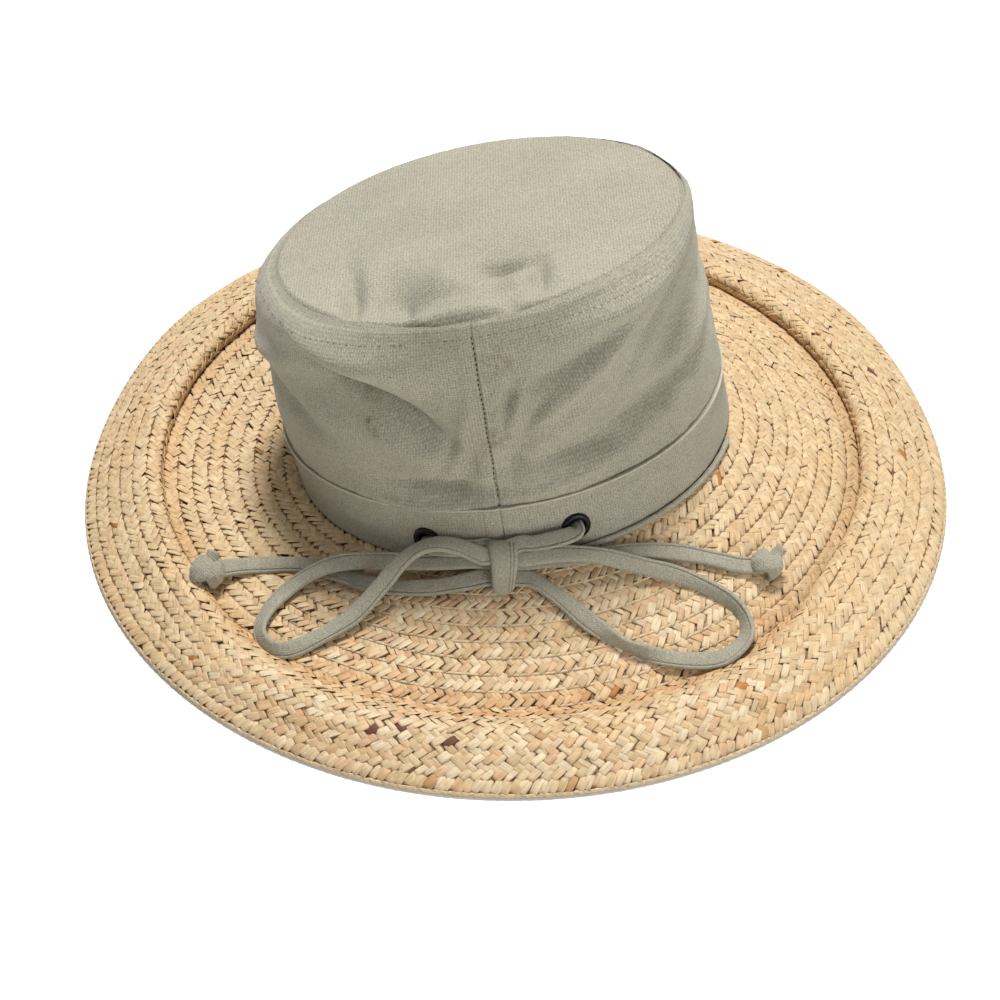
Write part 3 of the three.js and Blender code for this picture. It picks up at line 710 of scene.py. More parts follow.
brim_points = brim_grid()
row_step = np.gradient(brim_points, axis=1)
turn_step = np.gradient(brim_points, axis=0)
turn_step[0] = turn_step[-1] = (brim_points[1] - brim_points[-2]) / 2
brim_normals = np.cross(row_step, turn_step)
brim_normals /= np.linalg.norm(brim_normals, axis=-1, keepdims=True)


def on_brim(turn, row, height):
    """Points over the brim at a turn in degrees, a row number and a height along the surface's normal."""
    column = (turn % 360) / turn_pitch
    line = np.clip((row - grid_rows[0]) / (grid_rows[1] - grid_rows[0]), 0, len(grid_rows) - 1.001)
    c0, l0 = np.floor(column).astype(int), np.floor(line).astype(int)
    cs, ls = (column - c0)[..., None], (line - l0)[..., None]
    c1, l1 = np.minimum(c0 + 1, len(grid_turns) - 1), l0 + 1

    def read(grid):
        near = grid[c0, l0] * (1 - ls) + grid[c0, l1] * ls
        far = grid[c1, l0] * (1 - ls) + grid[c1, l1] * ls
        return near * (1 - cs) + far * cs

    normal = read(brim_normals)
    normal /= np.linalg.norm(normal, axis=-1, keepdims=True)
    return read(brim_points) + normal * height[..., None]


print("brim grid", brim_points.shape, "lowest", round(float(brim_points[..., 2].min()), 5))

# %% [markdown]
# ## Straw
# A straw strand is a flattened stalk. Its colour runs from cream to tan, and now and then to orange or
# brown, so each strand carries its own tint. Fine lines run along it. They come from a noise that is
# stretched along the strand, in the strand's own coordinates.


# %% Straw finish
def straw_finish(name, shade):
    material, shader = new_finish(name, Roughness=0.62, Specular_IOR_Level=0.3)
    tree = material.node_tree
    tint = add_node(tree, "VertexColor", layer_name="tint").outputs[0]
    cloth = add_node(tree, "UVMap", uv_map="cloth").outputs[0]
    stretched = add_node(tree, "Mapping", {0: cloth, "Scale": (1150, 90, 1)}).outputs[0]
    fibre = noise(tree, stretched, 1.0, 3.0)
    place = add_node(tree, "TexCoord").outputs["Object"]
    mottle = noise(tree, place, 260.0, 3.0)
    share = maths(tree, "ADD", maths(tree, "MULTIPLY", fibre, 0.6), maths(tree, "MULTIPLY", mottle, 0.4))
    grain = ramp(tree, share, [(0.34, shade), (0.6, 1.0)])
    colour = blend_colours(tree, 1.0, tint, grain, "MULTIPLY")
    tree.links.new(colour, shader.inputs["Base Color"])
    relief = add_node(tree, "Bump", {"Height": fibre, "Strength": 0.7, "Distance": 0.4 * mm})
    tree.links.new(relief.outputs[0], shader.inputs["Normal"])
    return material


straw = straw_finish("straw", 0.66)
straw_shadow = straw_finish("straw core", 0.6)
straw_codes = ("dac4a1", "d5bb95", "cfb48b", "c9ab83", "cfac84", "b99367")
straw_colours = np.array([linear(code)[:3] for code in straw_codes])
straw_shares = np.array([0.2, 0.33, 0.27, 0.1, 0.07, 0.03])
brown_straw = np.array([linear("6b4230")[:3], linear("b0763f")[:3]])
row_pitch = 6.6 * mm
# A turn, a row and a side of the row for each brown strand that the photograph shows
brown_places = [(251, 12, 1), (254.5, 12, -1), (260.5, 12, 1)]

# %% [markdown]
# ## Plaited rows
# Seen close, each row is a flat plait: strands come in slantwise from both edges and dive under each other
# at the middle, like a row of arrowheads. A texture can't give the raised strands and the dark gaps between
# them. So each visible stretch of strand is a small closed leaf of its own, bent over the brim's surface, and
# a row's outer edge lies over the next row as it is sewn.


# %% Strand leaves
strand_across = np.array((-1.0, -0.72, 0.72, 1.0))
strand_rise = np.array((-0.16, 0.1, 0.13, -0.1)) * mm


def seen_edgewise(turn):
    """1 at the sides and the rear, where the rows show as ribs with dark lines of painted shade between them.
    """
    sideways = smoothstep(np.abs(np.cos(np.radians(turn))), 0.45, 0.85)
    rear = smoothstep(np.sin(np.radians(turn)), -0.1, 0.4)
    return np.maximum(sideways, rear)


def strand_tints(source, row, side, turn, strand):
    """A colour for each strand: neighbours on one stalk are alike, and a few strands are orange or brown."""
    count = len(turn)
    pick = source.choice(len(straw_colours), count, p=straw_shares)
    stalk = source.integers(0, len(straw_colours) - 1, 400)
    pick = np.where(source.random(count) < 0.6, stalk[strand % 400], pick)
    tint = straw_colours[pick] * (1 + 0.03 * source.standard_normal((count, 1)))
    alike = 0.55 * seen_edgewise(turn)[:, None]
    tint = tint * (1 - alike) + straw_colours[2] * alike
    patch = wander(turn, np.full_like(turn, 0.12 * row), 31, 7, 10)
    tint = tint * (1 - np.array((0.02, 0.07, 0.14)) * np.clip(patch - 0.2, 0, 1)[:, None])
    odd = source.random(count)[:, None]
    tint = np.where(odd < 0.0012, brown_straw[0], tint)
    tint = np.where((odd > 0.0012) & (odd < 0.004), brown_straw[1], tint)
    # Painted shade: the rows by the crease and the roll's inner face are darker and more orange
    crease_painted_shade = min(1.0, math.exp(-(((row - 8.7) / 1.0) ** 2)) + (0.8 if row == flat_rows else 0))
    tint = tint * (1 - np.array((0.06, 0.18, 0.3)) * crease_painted_shade)
    for brown_turn, brown_row, brown_side in brown_places:
        here = (np.abs(turn - brown_turn) < 0.9) & (row == brown_row) & (side == brown_side)
        tint = np.where(here[:, None], brown_straw[0], tint)
    return np.clip(tint, 0, 1)


def strand_leaves(rows, stations, sink, flip, seed):
    """Leaves for the rows. sink is their seat's depth under the upper face, and flip is -1 underneath."""
    source = np.random.default_rng(seed)
    t = np.linspace(-1, 1, stations)[None, :, None]
    w = strand_across[None, None, :]
    all_points, all_tints, all_cloth = [], [], []
    for row in rows:
        flat = row < flat_rows
        cell = (3.7 if flat else 4.3) * mm
        if flip < 0:
            cell = 6 * mm
        last = row == rows_end - 1 and flip > 0
        middle_row = row + (0.44 if flat else 0.5)
        if last:
            cell, middle_row = 3.5 * mm, row + 0.14
        ring = on_brim(np.array([180.0]), np.array([middle_row]), np.zeros(1))[0]
        radius = np.linalg.norm(ring[:2])
        count = int(round(2 * math.pi * radius / cell))
        drift = source.uniform(0, 360)
        for side in ((1,) if last else (-1, 1)):
            k = np.arange(count)
            uneven = 0.13 * source.standard_normal(count)
            turn0 = (360 * (k + 0.5 * (side > 0) + uneven) / count + drift) % 360
            ribbed = seen_edgewise(turn0)
            gap = (0.08 + 0.12 * smoothstep(5.5 - row, 0, 4)) * ribbed * (side < 0)
            half = (0.62 if side > 0 else 0.61) - gap
            if last:
                half = 0.9
            half = half * (1 + 0.04 * source.standard_normal(count))
            reach = (0.56 * cell + 0.5 * mm * ribbed) * (1 + 0.1 * source.standard_normal(count))
            wide = 0.42 * cell * (1 + 0.15 * source.standard_normal(count))
            lift = 0.1 * mm * source.standard_normal(count)
            twist = 0.13 * mm * source.standard_normal(count)
            if last:
                wide = 1.45 * wide
            half, reach, wide = half[:, None, None], reach[:, None, None], wide[:, None, None]
            across = side * half * (0.5 * (1 + t) * 1.06 - 0.12)
            along = -reach * t
            length = np.hypot(2 * reach, row_pitch * half)
            share_width = wide * (1 - 0.16 * np.abs(t) ** 4)
            along = along + w * share_width * (row_pitch * half / length)
            across = across + w * share_width * (2 * reach / length) * side / row_pitch
            bend = 0.26 * (1 - t**4) - 0.22 * np.abs(t) ** 6
            overlap = (0.34 if flat else 0.16) * across / 0.6
            dome = 0.6 * ribbed[:, None, None] * (1 - (across / 0.6) ** 2)
            height = (bend * (1 - 0.35 * ribbed[:, None, None]) + overlap + dome) * mm
            if last:
                height = (0.9 * np.sqrt(np.clip(1 - t**2, 0, 1)) - 0.35) * mm + 0 * across
            height = height + strand_rise[None, None] + lift[:, None, None]
            height = height + (0.07 * mm + twist[:, None, None]) * w
            turn = turn0[:, None, None] + np.degrees(along / radius)
            line = middle_row + across
            points = on_brim(turn, np.broadcast_to(line, turn.shape), flip * height - sink)
            all_points.append(points.reshape(count, -1, 3))
            strand = (k + (2 if side > 0 else 0)) % 5 + 5 * (k // 24)
            all_tints.append(np.repeat(strand_tints(source, row, side, turn0, strand), stations * 4, axis=0))
            strand_offset = source.uniform(0, 4, (count, 1, 1))
            u = np.broadcast_to(w * 1.9 * mm, (count, stations, 4)) + strand_offset
            v = np.broadcast_to(t * length / 2, (count, stations, 4)) + strand_offset
            all_cloth.append(np.stack([u, v], axis=-1).reshape(-1, 2))
    points = np.vstack([block.reshape(-1, 3) for block in all_points])
    return points, np.vstack(all_tints), np.vstack(all_cloth)


def leaf_faces(leaf_count, stations, flip):
    """Four sides between neighbouring stations, and a cap at each end."""
    faces = []
    for station in range(stations - 1):
        for side in range(4):
            a, b = station * 4 + side, station * 4 + (side + 1) % 4
            faces.append((a, b, b + 4, a + 4))
    faces.append((3, 2, 1, 0))
    last = (stations - 1) * 4
    faces.append((last, last + 1, last + 2, last + 3))
    faces = np.array(faces)
    if flip < 0:
        faces = faces[:, ::-1]
    starts = np.arange(leaf_count)[:, None, None] * stations * 4
    return (faces[None] + starts).reshape(-1, 4)


def make_plait(name, rows, stations, sink, flip, seed):
    points, tints, cloth = strand_leaves(rows, stations, sink, flip, seed)
    faces = leaf_faces(len(points) // (stations * 4), stations, flip)
    return make_piece(name, points, faces, straw, cloth[faces.ravel()], tints)


plait_flat = make_plait("plait_flat", range(0, flat_rows), 6, 0.0, 1, 11)
plait_rim = make_plait("plait_rim", range(flat_rows, rows_end), 6, 0.0, 1, 12)
under_sink = straw_thickness - 0.35 * mm
plait_under = make_plait("plait_under", range(0, rows_end - 1), 4, under_sink, -1, 13)

# %% Core under the plait
core_turns = np.linspace(0, 360, 260, endpoint=False)
core_rows = np.linspace(foot_row, rows_end + 0.2, 92)
turn_grid, row_grid = np.meshgrid(core_turns, core_rows, indexing="ij")
thin_edge = smoothstep(row_grid, rows_end - 0.8, rows_end)
top_sheet = on_brim(turn_grid, row_grid, np.full(turn_grid.shape, -0.55 * mm) - 0.2 * mm * thin_edge)
low_sheet = on_brim(turn_grid, row_grid, np.full(turn_grid.shape, -1.8 * mm) + 0.7 * mm * thin_edge)
core_loop = np.concatenate([top_sheet, low_sheet[:, ::-1]], axis=1)
core_faces, core_places = grid_faces(len(core_turns), 2 * len(core_rows), True, True)
core_cloth = core_places * (2 * mm, 1 * mm)
# Painted shade: dark brown core in the gaps at the sides and rear, most near the crown, and at the crease
core_painted_shade = seen_edgewise(np.concatenate([turn_grid, turn_grid], axis=1))[..., None]
core_rows_loop = np.concatenate([row_grid, row_grid[:, ::-1]], axis=1)[..., None]
core_painted_shade = core_painted_shade * (0.5 + 0.5 * smoothstep(7 - core_rows_loop, 0, 3))
core_painted_shade = np.maximum(core_painted_shade, np.exp(-(((core_rows_loop - flat_rows) / 0.5) ** 2)))
core_tints = np.array(linear("b58f63")[:3]) * (1 - core_painted_shade) + np.array(linear("6c4624")[:3]) * core_painted_shade
core = make_piece("straw_core", core_loop, core_faces, straw_shadow, core_cloth, core_tints.reshape(-1, 3))
finish_piece(core, "straw", "brim", "rim")
for plait in (plait_flat, plait_rim, plait_under):
    finish_piece(plait, "straw")

# %% [markdown]
# ## Edges of the rows
# Each row's outer edge is one straight stalk that the slanting strands turn round, and it lies over the next
# row. By the bow it shows as a pale line, and at the sides and the rear as the dark line between two ribs,
# which is painted shade.
# The brim ends in a twisted edge, with painted shade in the grooves of its twist. Both are swept along
# rings of the same surface.


# %% Edge lines of the rows
def ring_of_straw(turns, row, height, wide, thick, sides, tint, twist=0.0):
    """Points and tints of a closed ring of straw that lies over the brim at a row number."""
    spin = np.linspace(0, 2 * math.pi, sides, endpoint=False)[None, :]
    lay = 2 * spin - np.radians(turns)[:, None] * 300
    size = 1 + twist * np.cos(lay)
    out = wide / 2 * np.cos(spin) * size / row_pitch
    up = height[:, None] + thick / 2 * np.sin(spin) * size
    points = on_brim(np.broadcast_to(turns[:, None], out.shape), row[:, None] + out, up)
    points[..., 2] = np.maximum(points[..., 2], 0.1 * mm)
    shade = 1 + 0.05 * wander(turns, row, 41, 9, 60)[:, None, None]
    # Painted shade: darker in the grooves between the lobes of a twist
    shade = shade * (1 - 2.5 * twist * np.maximum(0, -np.cos(lay[..., None])) ** 3)
    return points, np.broadcast_to(np.array(tint) * shade, points.shape)


def make_rings(name, turns, rings, sides):
    points = np.vstack([points.reshape(-1, 3) for points, _ in rings])
    tints = np.vstack([tints.reshape(-1, 3) for _, tints in rings])
    faces, places = grid_faces(len(turns), sides, True, True)
    cloth = places * (1.2 * mm, 0.5 * mm)
    block = len(turns) * sides
    faces = np.vstack([faces[:, ::-1] + block * index for index in range(len(rings))])
    return make_piece(name, points, faces, straw, np.vstack([cloth[:, ::-1]] * len(rings)), tints)


edge_turns = np.linspace(0, 360, 540, endpoint=False)
edge_sides = 4
ribbed_turns = seen_edgewise(edge_turns)
# The dark colour at the sides and the rear is painted shade, for the shadowed line between two ribs
pale_edge, painted_shade_edge = np.array(linear("d0b994")[:3]), np.array(linear("84603a")[:3])
edge_tint_with_painted_shade = pale_edge + (painted_shade_edge - pale_edge) * ribbed_turns[:, None, None]
edge_lines = []
for row in range(rows_end - 1):
    line_row = row + 1.02 + 0.03 * wander(edge_turns, np.full_like(edge_turns, row), 43, 6, 30)
    line_wave = wander(edge_turns, np.full_like(edge_turns, row), 44, 6, 40)
    front_height = 0.24 if row < flat_rows else -1.0
    line_height = (front_height + (0.36 - front_height) * ribbed_turns + 0.1 * line_wave) * mm
    ragged = 0.7 + 0.35 * wander(edge_turns, np.full_like(edge_turns, row), 45, 12, 150)
    line_wide = (1.3 + (ragged - 1.3) * ribbed_turns)[:, None] * mm
    edge_lines.append(ring_of_straw(edge_turns, line_row, line_height, line_wide, 0.42 * mm, edge_sides,
                                    edge_tint_with_painted_shade))
finish_piece(make_rings("row_edges", edge_turns, edge_lines, edge_sides), "straw")
rope_turns = np.linspace(0, 360, 720, endpoint=False)
rope_sides, rope_twist = 8, 0.2
# past the last row in rows, height, width and thickness in millimetres, and a colour for each of two rings
rope_rings = [(0.08, 0.05, 1.9, 1.3, "d2ba94"), (0.3, -0.05, 1.6, 1.0, "caae83")]
edge_rope = []
for past_row, height, wide, thick, code in rope_rings:
    rope_row, rope_height = rows_end + past_row + 0 * rope_turns, height * mm + 0 * rope_turns
    edge_rope.append(ring_of_straw(rope_turns, rope_row, rope_height, wide * mm, thick * mm, rope_sides,
                                   linear(code)[:3], rope_twist))
finish_piece(make_rings("edge_rope", rope_turns, edge_rope, rope_sides), "straw")

# %% [markdown]
# ## The crown
# The crown is one soft wall, a round tip and a band. A cloth simulation would drop it into folds of its own,
# and the photograph's folds are wanted, so the big folds are the CAD's and the fine ones are added in the
# same way. Each is a closed skin, an outer face and an inner one, and the columns stand closer together at
# the back seam, where the canvas dips into a stitched groove.

# %% Crown wall
seam_turn = 268
crown_turns = np.concatenate([np.linspace(seam_turn - 5, seam_turn + 5, 61),
                              np.linspace(seam_turn + 5, seam_turn + 355, 421)[1:-1]])


def seam_groove(turn, depth=0.8 * mm, half=0.34, pad=0.3 * mm):
    """The back seam: a narrow groove with the folded edges of the cloth raised on both sides of it."""
    apart = np.abs((turn - seam_turn + 180) % 360 - 180)
    return pad * (1 - smoothstep(apart, 3.4, 4.6)) - depth * np.exp(-((apart / half) ** 2))


def puckers(turn, seed, period=5.5):
    """Small gathers along a sewn edge."""
    slow = wander(turn, np.zeros_like(turn), seed, 5, 14)
    return np.sin(360 / period * np.radians(turn) + 2.4 * slow) * (0.6 + 0.4 * slow)


# The wall's top edge is turned in round the tip, a little above the seam, and lower where the tip is puckered
shoulder_rise = 1 + 1.9 * mm / crown_height


def at_front(turn):
    """1 by the back seam, where the tip's cloth has sunk and puckered, and 0 round the rest."""
    return np.exp(-((((turn - 263 + 180) % 360 - 180) / 20) ** 4))


def wall_fine(turn, rise):
    fine = crease_depth * fold_offset(turn, rise, wall_creases)
    fine = fine + 0.5 * mm * wander(turn, rise, 3, 9, 12) + 0.2 * mm * wander(turn, rise, 4, 12, 34)
    fine = fine + 0.16 * mm * puckers(turn, 5) * smoothstep(rise, 0.86, 0.98)
    fine = fine + 0.2 * mm * puckers(turn, 6, 7) * smoothstep(0.36 - rise, 0, 0.1)
    beside = np.exp(-((((turn - seam_turn + 180) % 360 - 180 - 2.6) / 2.2) ** 2))
    fine = fine + 0.3 * mm * beside * np.sin(2 * math.pi * rise * 13 + 1) * smoothstep(rise, 0.3, 0.5)
    rolled_in = -(1.9 - 1.0 * at_front(turn)) * mm * smoothstep(rise, 0.994, shoulder_rise) ** 1.5
    return fine + seam_groove(turn) + rolled_in


def crown_hoop(name, outer, inner, round_length):
    """A closed skin from an outer and an inner sheet of columns by rows."""
    loop = np.concatenate([outer, inner[:, ::-1]], axis=1)
    columns, rows = loop.shape[:2]
    faces, places = grid_faces(columns, rows, True, True)
    middle = loop[columns // 3]
    closed_middle = np.vstack([middle, middle[:1]])
    run = run_along(closed_middle)
    around = np.append(np.radians(np.unwrap(crown_turns, period=360) - crown_turns[0]), 2 * math.pi)
    cloth = np.stack([around[places[..., 0].astype(int)] * round_length / (2 * math.pi),
                      run[places[..., 1].astype(int)]], axis=-1)
    return make_piece(name, loop, faces, canvas, cloth)


wall_low = (band_height + seam_gap) / crown_height
wall_rises = np.concatenate([np.linspace(wall_low, 0.95, 86), np.linspace(0.95, shoulder_rise, 18)[1:]])
inner_rises = np.linspace(wall_low, 1, 22)
turn_grid, rise_grid = np.meshgrid(crown_turns, wall_rises, indexing="ij")
lowered = rise_grid - np.maximum(0, rise_grid - 1) * 0.5 * at_front(turn_grid)
wall_outer = wall_point(turn_grid, lowered, fine=wall_fine(turn_grid, rise_grid))
turn_grid, rise_grid = np.meshgrid(crown_turns, inner_rises, indexing="ij")
inner_creases = crease_depth * fold_offset(turn_grid, rise_grid, wall_creases)
wall_inner = wall_point(turn_grid, rise_grid, canvas_thickness, inner_creases)
crown_wall = crown_hoop("crown_wall", wall_outer, wall_inner, 2 * math.pi * 87 * mm)
finish_piece(crown_wall, "canvas", "crown_side")

# %% [markdown]
# ## The tip
# The round top is a little domed. Its edge turns down into the seam, and towards the bow the slack canvas
# has sunk into two soft dents with a pucker between them and the seam.

# %% Crown tip
# x, y, wide, deep as shares of the tip's radius, up as a share of its dome
tip_dents = [
    (-0.42, -0.62, 0.2, 0.22, -2.0),
    (0.1, -0.66, 0.14, 0.2, -1.5),
    (-0.16, -0.6, 0.16, 0.16, 0.9),
    (-0.12, -0.93, 0.32, 0.08, -1.7),
    (-0.62, -0.5, 0.1, 0.3, -0.5),
    (-0.3, -0.8, 0.09, 0.1, -0.6),
    (0.26, -0.8, 0.12, 0.08, -0.5),
    (0.02, -0.8, 0.1, 0.07, 0.5),
    (-0.1, -0.3, 0.5, 0.12, 0.35),
    (0.3, -0.35, 0.3, 0.1, -0.3),
]
tip_lift = np.array((-math.tan(math.radians(tip_tilt[0])), math.tan(math.radians(tip_tilt[1])), 1))
tip_lift /= np.linalg.norm(tip_lift)


def tip_height(turn, share):
    x, y = share * np.cos(np.radians(turn)), share * np.sin(np.radians(turn))
    height = 1 - share**2
    for at_x, at_y, wide, deep, up in tip_dents:
        press = np.exp(-(((x - at_x) / wide) ** 2) - ((y - at_y) / deep) ** 2)
        height = height + up * press * (1 - share**6)
    return height * tip_dome


def tip_point(turn, share, sunk, fine=0.0):
    lift = seam_gap + canvas_thickness - sunk + tip_height(turn, share) + fine
    return tip_edge_point(turn, tip_radius * share, share) + lift[..., None] * tip_lift


# x, y, wide, deep as shares of the tip's radius, up in metres: the slack behind the seam
tip_sags = [
    (-0.1, -0.893, 0.28, 0.045, 3.2 * mm),
    (-0.1, -0.945, 0.3, 0.026, -3.4 * mm),
    (-0.08, -0.74, 0.28, 0.05, -1.6 * mm),
    (-0.6, -0.52, 0.045, 0.24, -4.6 * mm),
    (-0.5, -0.56, 0.06, 0.2, 1.8 * mm),
    (-0.4, -0.64, 0.12, 0.14, -3.2 * mm),
    (-0.34, -0.76, 0.035, 0.12, -2.4 * mm),
    (0.13, -0.53, 0.12, 0.045, -4.8 * mm),
    (0.29, -0.66, 0.045, 0.13, -4.6 * mm),
    (0.17, -0.68, 0.08, 0.1, 2.4 * mm),
    (0.15, -0.9, 0.05, 0.05, -2.6 * mm),
    (-0.18, -0.58, 0.15, 0.12, 2.8 * mm),
]
tip_seam_share = 0.978


def tip_sag(turn, share):
    x, y = share * np.cos(np.radians(turn)), share * np.sin(np.radians(turn))
    return sum(up * np.exp(-(((x - at_x) / wide) ** 2) - ((y - at_y) / deep) ** 2)
               for at_x, at_y, wide, deep, up in tip_sags)


def tip_fine(turn, share):
    fine = 0.2 * mm * wander(turn, share, 8, 9, 9) * smoothstep(share, 0.05, 0.4) * (1 - share**8)
    fine = fine + 0.1 * mm * puckers(turn, 9, 6) * smoothstep(share, 0.84, 0.97)
    turned_in = (1.9 + 1.1 * at_front(turn)) * mm * smoothstep(share, 0.945, tip_seam_share) ** 1.5
    return fine + tip_sag(turn, share) - turned_in


def drawn_in_share(turn, share):
    return share * (1 - 0.004 * at_front(turn) * smoothstep(share, 0.6, 0.97))


tip_turns = np.linspace(0, 360, 360, endpoint=False)
tip_shares = np.concatenate([np.linspace(0.02, 0.92, 62), np.linspace(0.92, tip_seam_share, 10)[1:]])
turn_grid, share_grid = np.meshgrid(tip_turns, tip_shares, indexing="ij")
drawn_in = drawn_in_share(turn_grid, share_grid)
tip_upper = tip_point(turn_grid, drawn_in, 0, tip_fine(turn_grid, share_grid))
under_shares = np.linspace(0.02, tip_seam_share, 24)
turn_grid, share_grid = np.meshgrid(tip_turns, under_shares, indexing="ij")
drawn_in = drawn_in_share(turn_grid, share_grid)
under_drop = -1.1 * mm * at_front(turn_grid) * smoothstep(share_grid, 0.9, 0.97)
tip_lower = tip_point(turn_grid, drawn_in, canvas_thickness, tip_sag(turn_grid, share_grid) + under_drop)
tip_loop = np.concatenate([tip_upper, tip_lower[:, ::-1]], axis=1)
tip_faces, _ = grid_faces(*tip_loop.shape[:2], True, False)
ends = tip_loop.shape[1]
caps = [[column * ends for column in reversed(range(len(tip_turns)))],
        [column * ends + ends - 1 for column in range(len(tip_turns))]]
tip_flat = tip_loop.reshape(-1, 3)[:, :2]
tip_corners = [list(face) for face in tip_faces] + caps
tip_cloth = np.vstack([tip_flat[face] for face in tip_corners])
crown_top = make_piece("crown_top", tip_loop, tip_corners, canvas, tip_cloth)
finish_piece(crown_top, "canvas", "crown_tip")

# %% [markdown]
# ## The band
# The band is the casing that the cord runs in. Its upper edge is folded over, so it stands proud of the wall
# as a thin ridge. The eyelet holes are cut with a boolean, because a drilled hole is what they are.

# %% Crown band
band_top = band_height / crown_height
band_rises = np.concatenate([np.linspace(0.003, 0.215, 30), np.linspace(0.215, band_top, 14)[1:]])


def band_fine(turn, rise):
    ridge_at = band_top - 0.008
    ridge = 1.0 * mm * np.exp(-(((rise - ridge_at) / 0.0085) ** 2))
    stitch_line = -0.2 * mm * np.exp(-(((rise - ridge_at + 0.03) / 0.008) ** 2))
    fine = 0.25 * mm * wander(turn, rise, 21, 9, 16) + 0.12 * mm * puckers(turn, 22, 4)
    foot = -0.5 * mm * (1 - smoothstep(rise, 0.003, 0.02))
    fine = 0.35 * mm + fine * smoothstep(rise, 0.0, 0.03)
    return fine + ridge + stitch_line + foot + seam_groove(turn, 0.7 * mm)


turn_grid, rise_grid = np.meshgrid(crown_turns, band_rises, indexing="ij")
band_outer = wall_point(turn_grid, rise_grid, fine=band_fine(turn_grid, rise_grid))
band_inner_rises = np.linspace(0.003, band_top, 12)
turn_grid, rise_grid = np.meshgrid(crown_turns, band_inner_rises, indexing="ij")
band_inner = wall_point(turn_grid, rise_grid, canvas_thickness)
band_outer[:, -1] = wall_point(crown_turns, band_rises[-1], fine=0.2 * mm)
crown_casing = crown_hoop("crown_casing", band_outer, band_inner, 2 * math.pi * 92 * mm)

eyelet_radius = 5.9 * mm
eyelet_hole_radius = 3.2 * mm
eyelet_flange = 1.3 * mm
drill_radius = 4.1 * mm
eyelet_rise = 10 * mm / crown_height
eyelet_turns = {"eyelet_left": 248.5, "eyelet_right": 286.0}


def eyelet_place(turn):
    """Where an eyelet's middle is, and a matrix whose Z is the band's outward direction there."""
    turn, rise = np.array(turn), np.array(eyelet_rise)
    point = wall_point(turn, rise)
    normal = Vector(wall_normal(turn, rise))
    return Matrix.Translation(Vector(point)) @ normal.to_track_quat("Z", "Y").to_matrix().to_4x4()


def cut_holes(piece):
    drills = []
    for turn in eyelet_turns.values():
        shape = bmesh.new()
        bmesh.ops.create_cone(shape, cap_ends=True, segments=40, radius1=drill_radius, radius2=drill_radius,
                              depth=16 * mm)
        bmesh.ops.transform(shape, matrix=eyelet_place(turn), verts=shape.verts)
        mesh = bpy.data.meshes.new("drill")
        shape.to_mesh(mesh)
        shape.free()
        drill = bpy.data.objects.new("drill", mesh)
        bpy.context.scene.collection.objects.link(drill)
        cut = piece.modifiers.new("hole", "BOOLEAN")
        cut.operation, cut.solver, cut.object = "DIFFERENCE", "EXACT", drill
        drills.append(drill)
    cut_mesh = bpy.data.meshes.new_from_object(piece.evaluated_get(bpy.context.evaluated_depsgraph_get()))
    piece.modifiers.clear()
    piece.data = cut_mesh
    for drill in drills:
        bpy.data.objects.remove(drill)


cut_holes(crown_casing)
finish_piece(crown_casing, "canvas", "crown_band")

# %% [markdown]
# ## Piping
# The casing's folded edge shows as one pale cord of cloth with a dark line above it. Its paler cloth is a
# painted highlight, the light on the fold's top. It is a thin roll that follows the wall, so it goes over the
# folds and dips at the back seam.

# %% Piping
piping_rise = band_top - 0.004
piping_turns = crown_turns[:, None]
piping_sides = 8
piping_spin = np.linspace(0, 2 * math.pi, piping_sides, endpoint=False)[None, :]
piping_out = 0.85 * mm + seam_groove(piping_turns, 0.5 * mm) + 0.55 * mm * np.cos(piping_spin)
piping_points = wall_point(piping_turns, piping_rise + 0 * piping_spin, fine=piping_out)
piping_points[..., 2] += 0.6 * mm * np.sin(piping_spin)
piping_faces, piping_places = grid_faces(len(crown_turns), piping_sides, True, True)
piping_cloth = piping_places * (1.2 * mm, 0.5 * mm)
# The piping's paler cloth is a painted highlight
piping = make_piece("casing_piping", piping_points, piping_faces, canvas_painted_highlight, piping_cloth)
finish_piece(piping, "canvas")

# %% [markdown]
# ## Eyelets
# A pressed metal ring with a rounded flange, painted black and rubbed a little at its edge. It is a section
# spun round an axis, with enough steps to look round.

# %% Eyelets
black_metal, black_shader = new_finish("black metal", Metallic=0.6)
metal_tree = black_metal.node_tree
metal_place = add_node(metal_tree, "TexCoord").outputs["Object"]
rubbed = noise(metal_tree, metal_place, 900.0, 4.0)
metal_colour = blend_colours(metal_tree, ramp(metal_tree, rubbed, [(0.55, 0.0), (0.75, 0.5)]),
                             linear("101113"), linear("3c3b38"))
metal_tree.links.new(metal_colour, black_shader.inputs["Base Color"])
metal_tree.links.new(ramp(metal_tree, rubbed, [(0.3, 0.28), (0.7, 0.5)]), black_shader.inputs["Roughness"])


def make_eyelet(name, turn):
    flange = np.linspace(0, math.pi, 12)
    middle, half = (eyelet_hole_radius + eyelet_radius) / 2, (eyelet_radius - eyelet_hole_radius) / 2
    barrel = eyelet_hole_radius + 0.5 * mm
    radius = np.concatenate([middle + half * np.cos(flange), [eyelet_hole_radius, barrel, barrel]])
    height = np.concatenate([seam_gap + eyelet_flange * np.sin(flange) ** 0.8,
                             [-canvas_thickness, -canvas_thickness, seam_gap]])
    steps = 64
    spins = np.linspace(0, 2 * math.pi, steps, endpoint=False)[:, None]
    heights = np.broadcast_to(height, (steps, len(height)))
    points = np.stack([radius * np.cos(spins), radius * np.sin(spins), heights], axis=-1)
    faces, _ = grid_faces(steps, len(height), True, True)
    piece = make_piece(name + "_ring", points, faces, black_metal)
    piece.data.transform(eyelet_place(turn))
    return finish_piece(piece, "black_metal", name)


for eyelet_name, eyelet_turn in eyelet_turns.items():
    make_eyelet(eyelet_name, eyelet_turn)

# %% [markdown]
# ## The welt
# At the right the rolled edge of the casing shows on the straw, as a thin roll of canvas with a slight
# twist. It is swept along the crown's foot and gets thin at both ends.

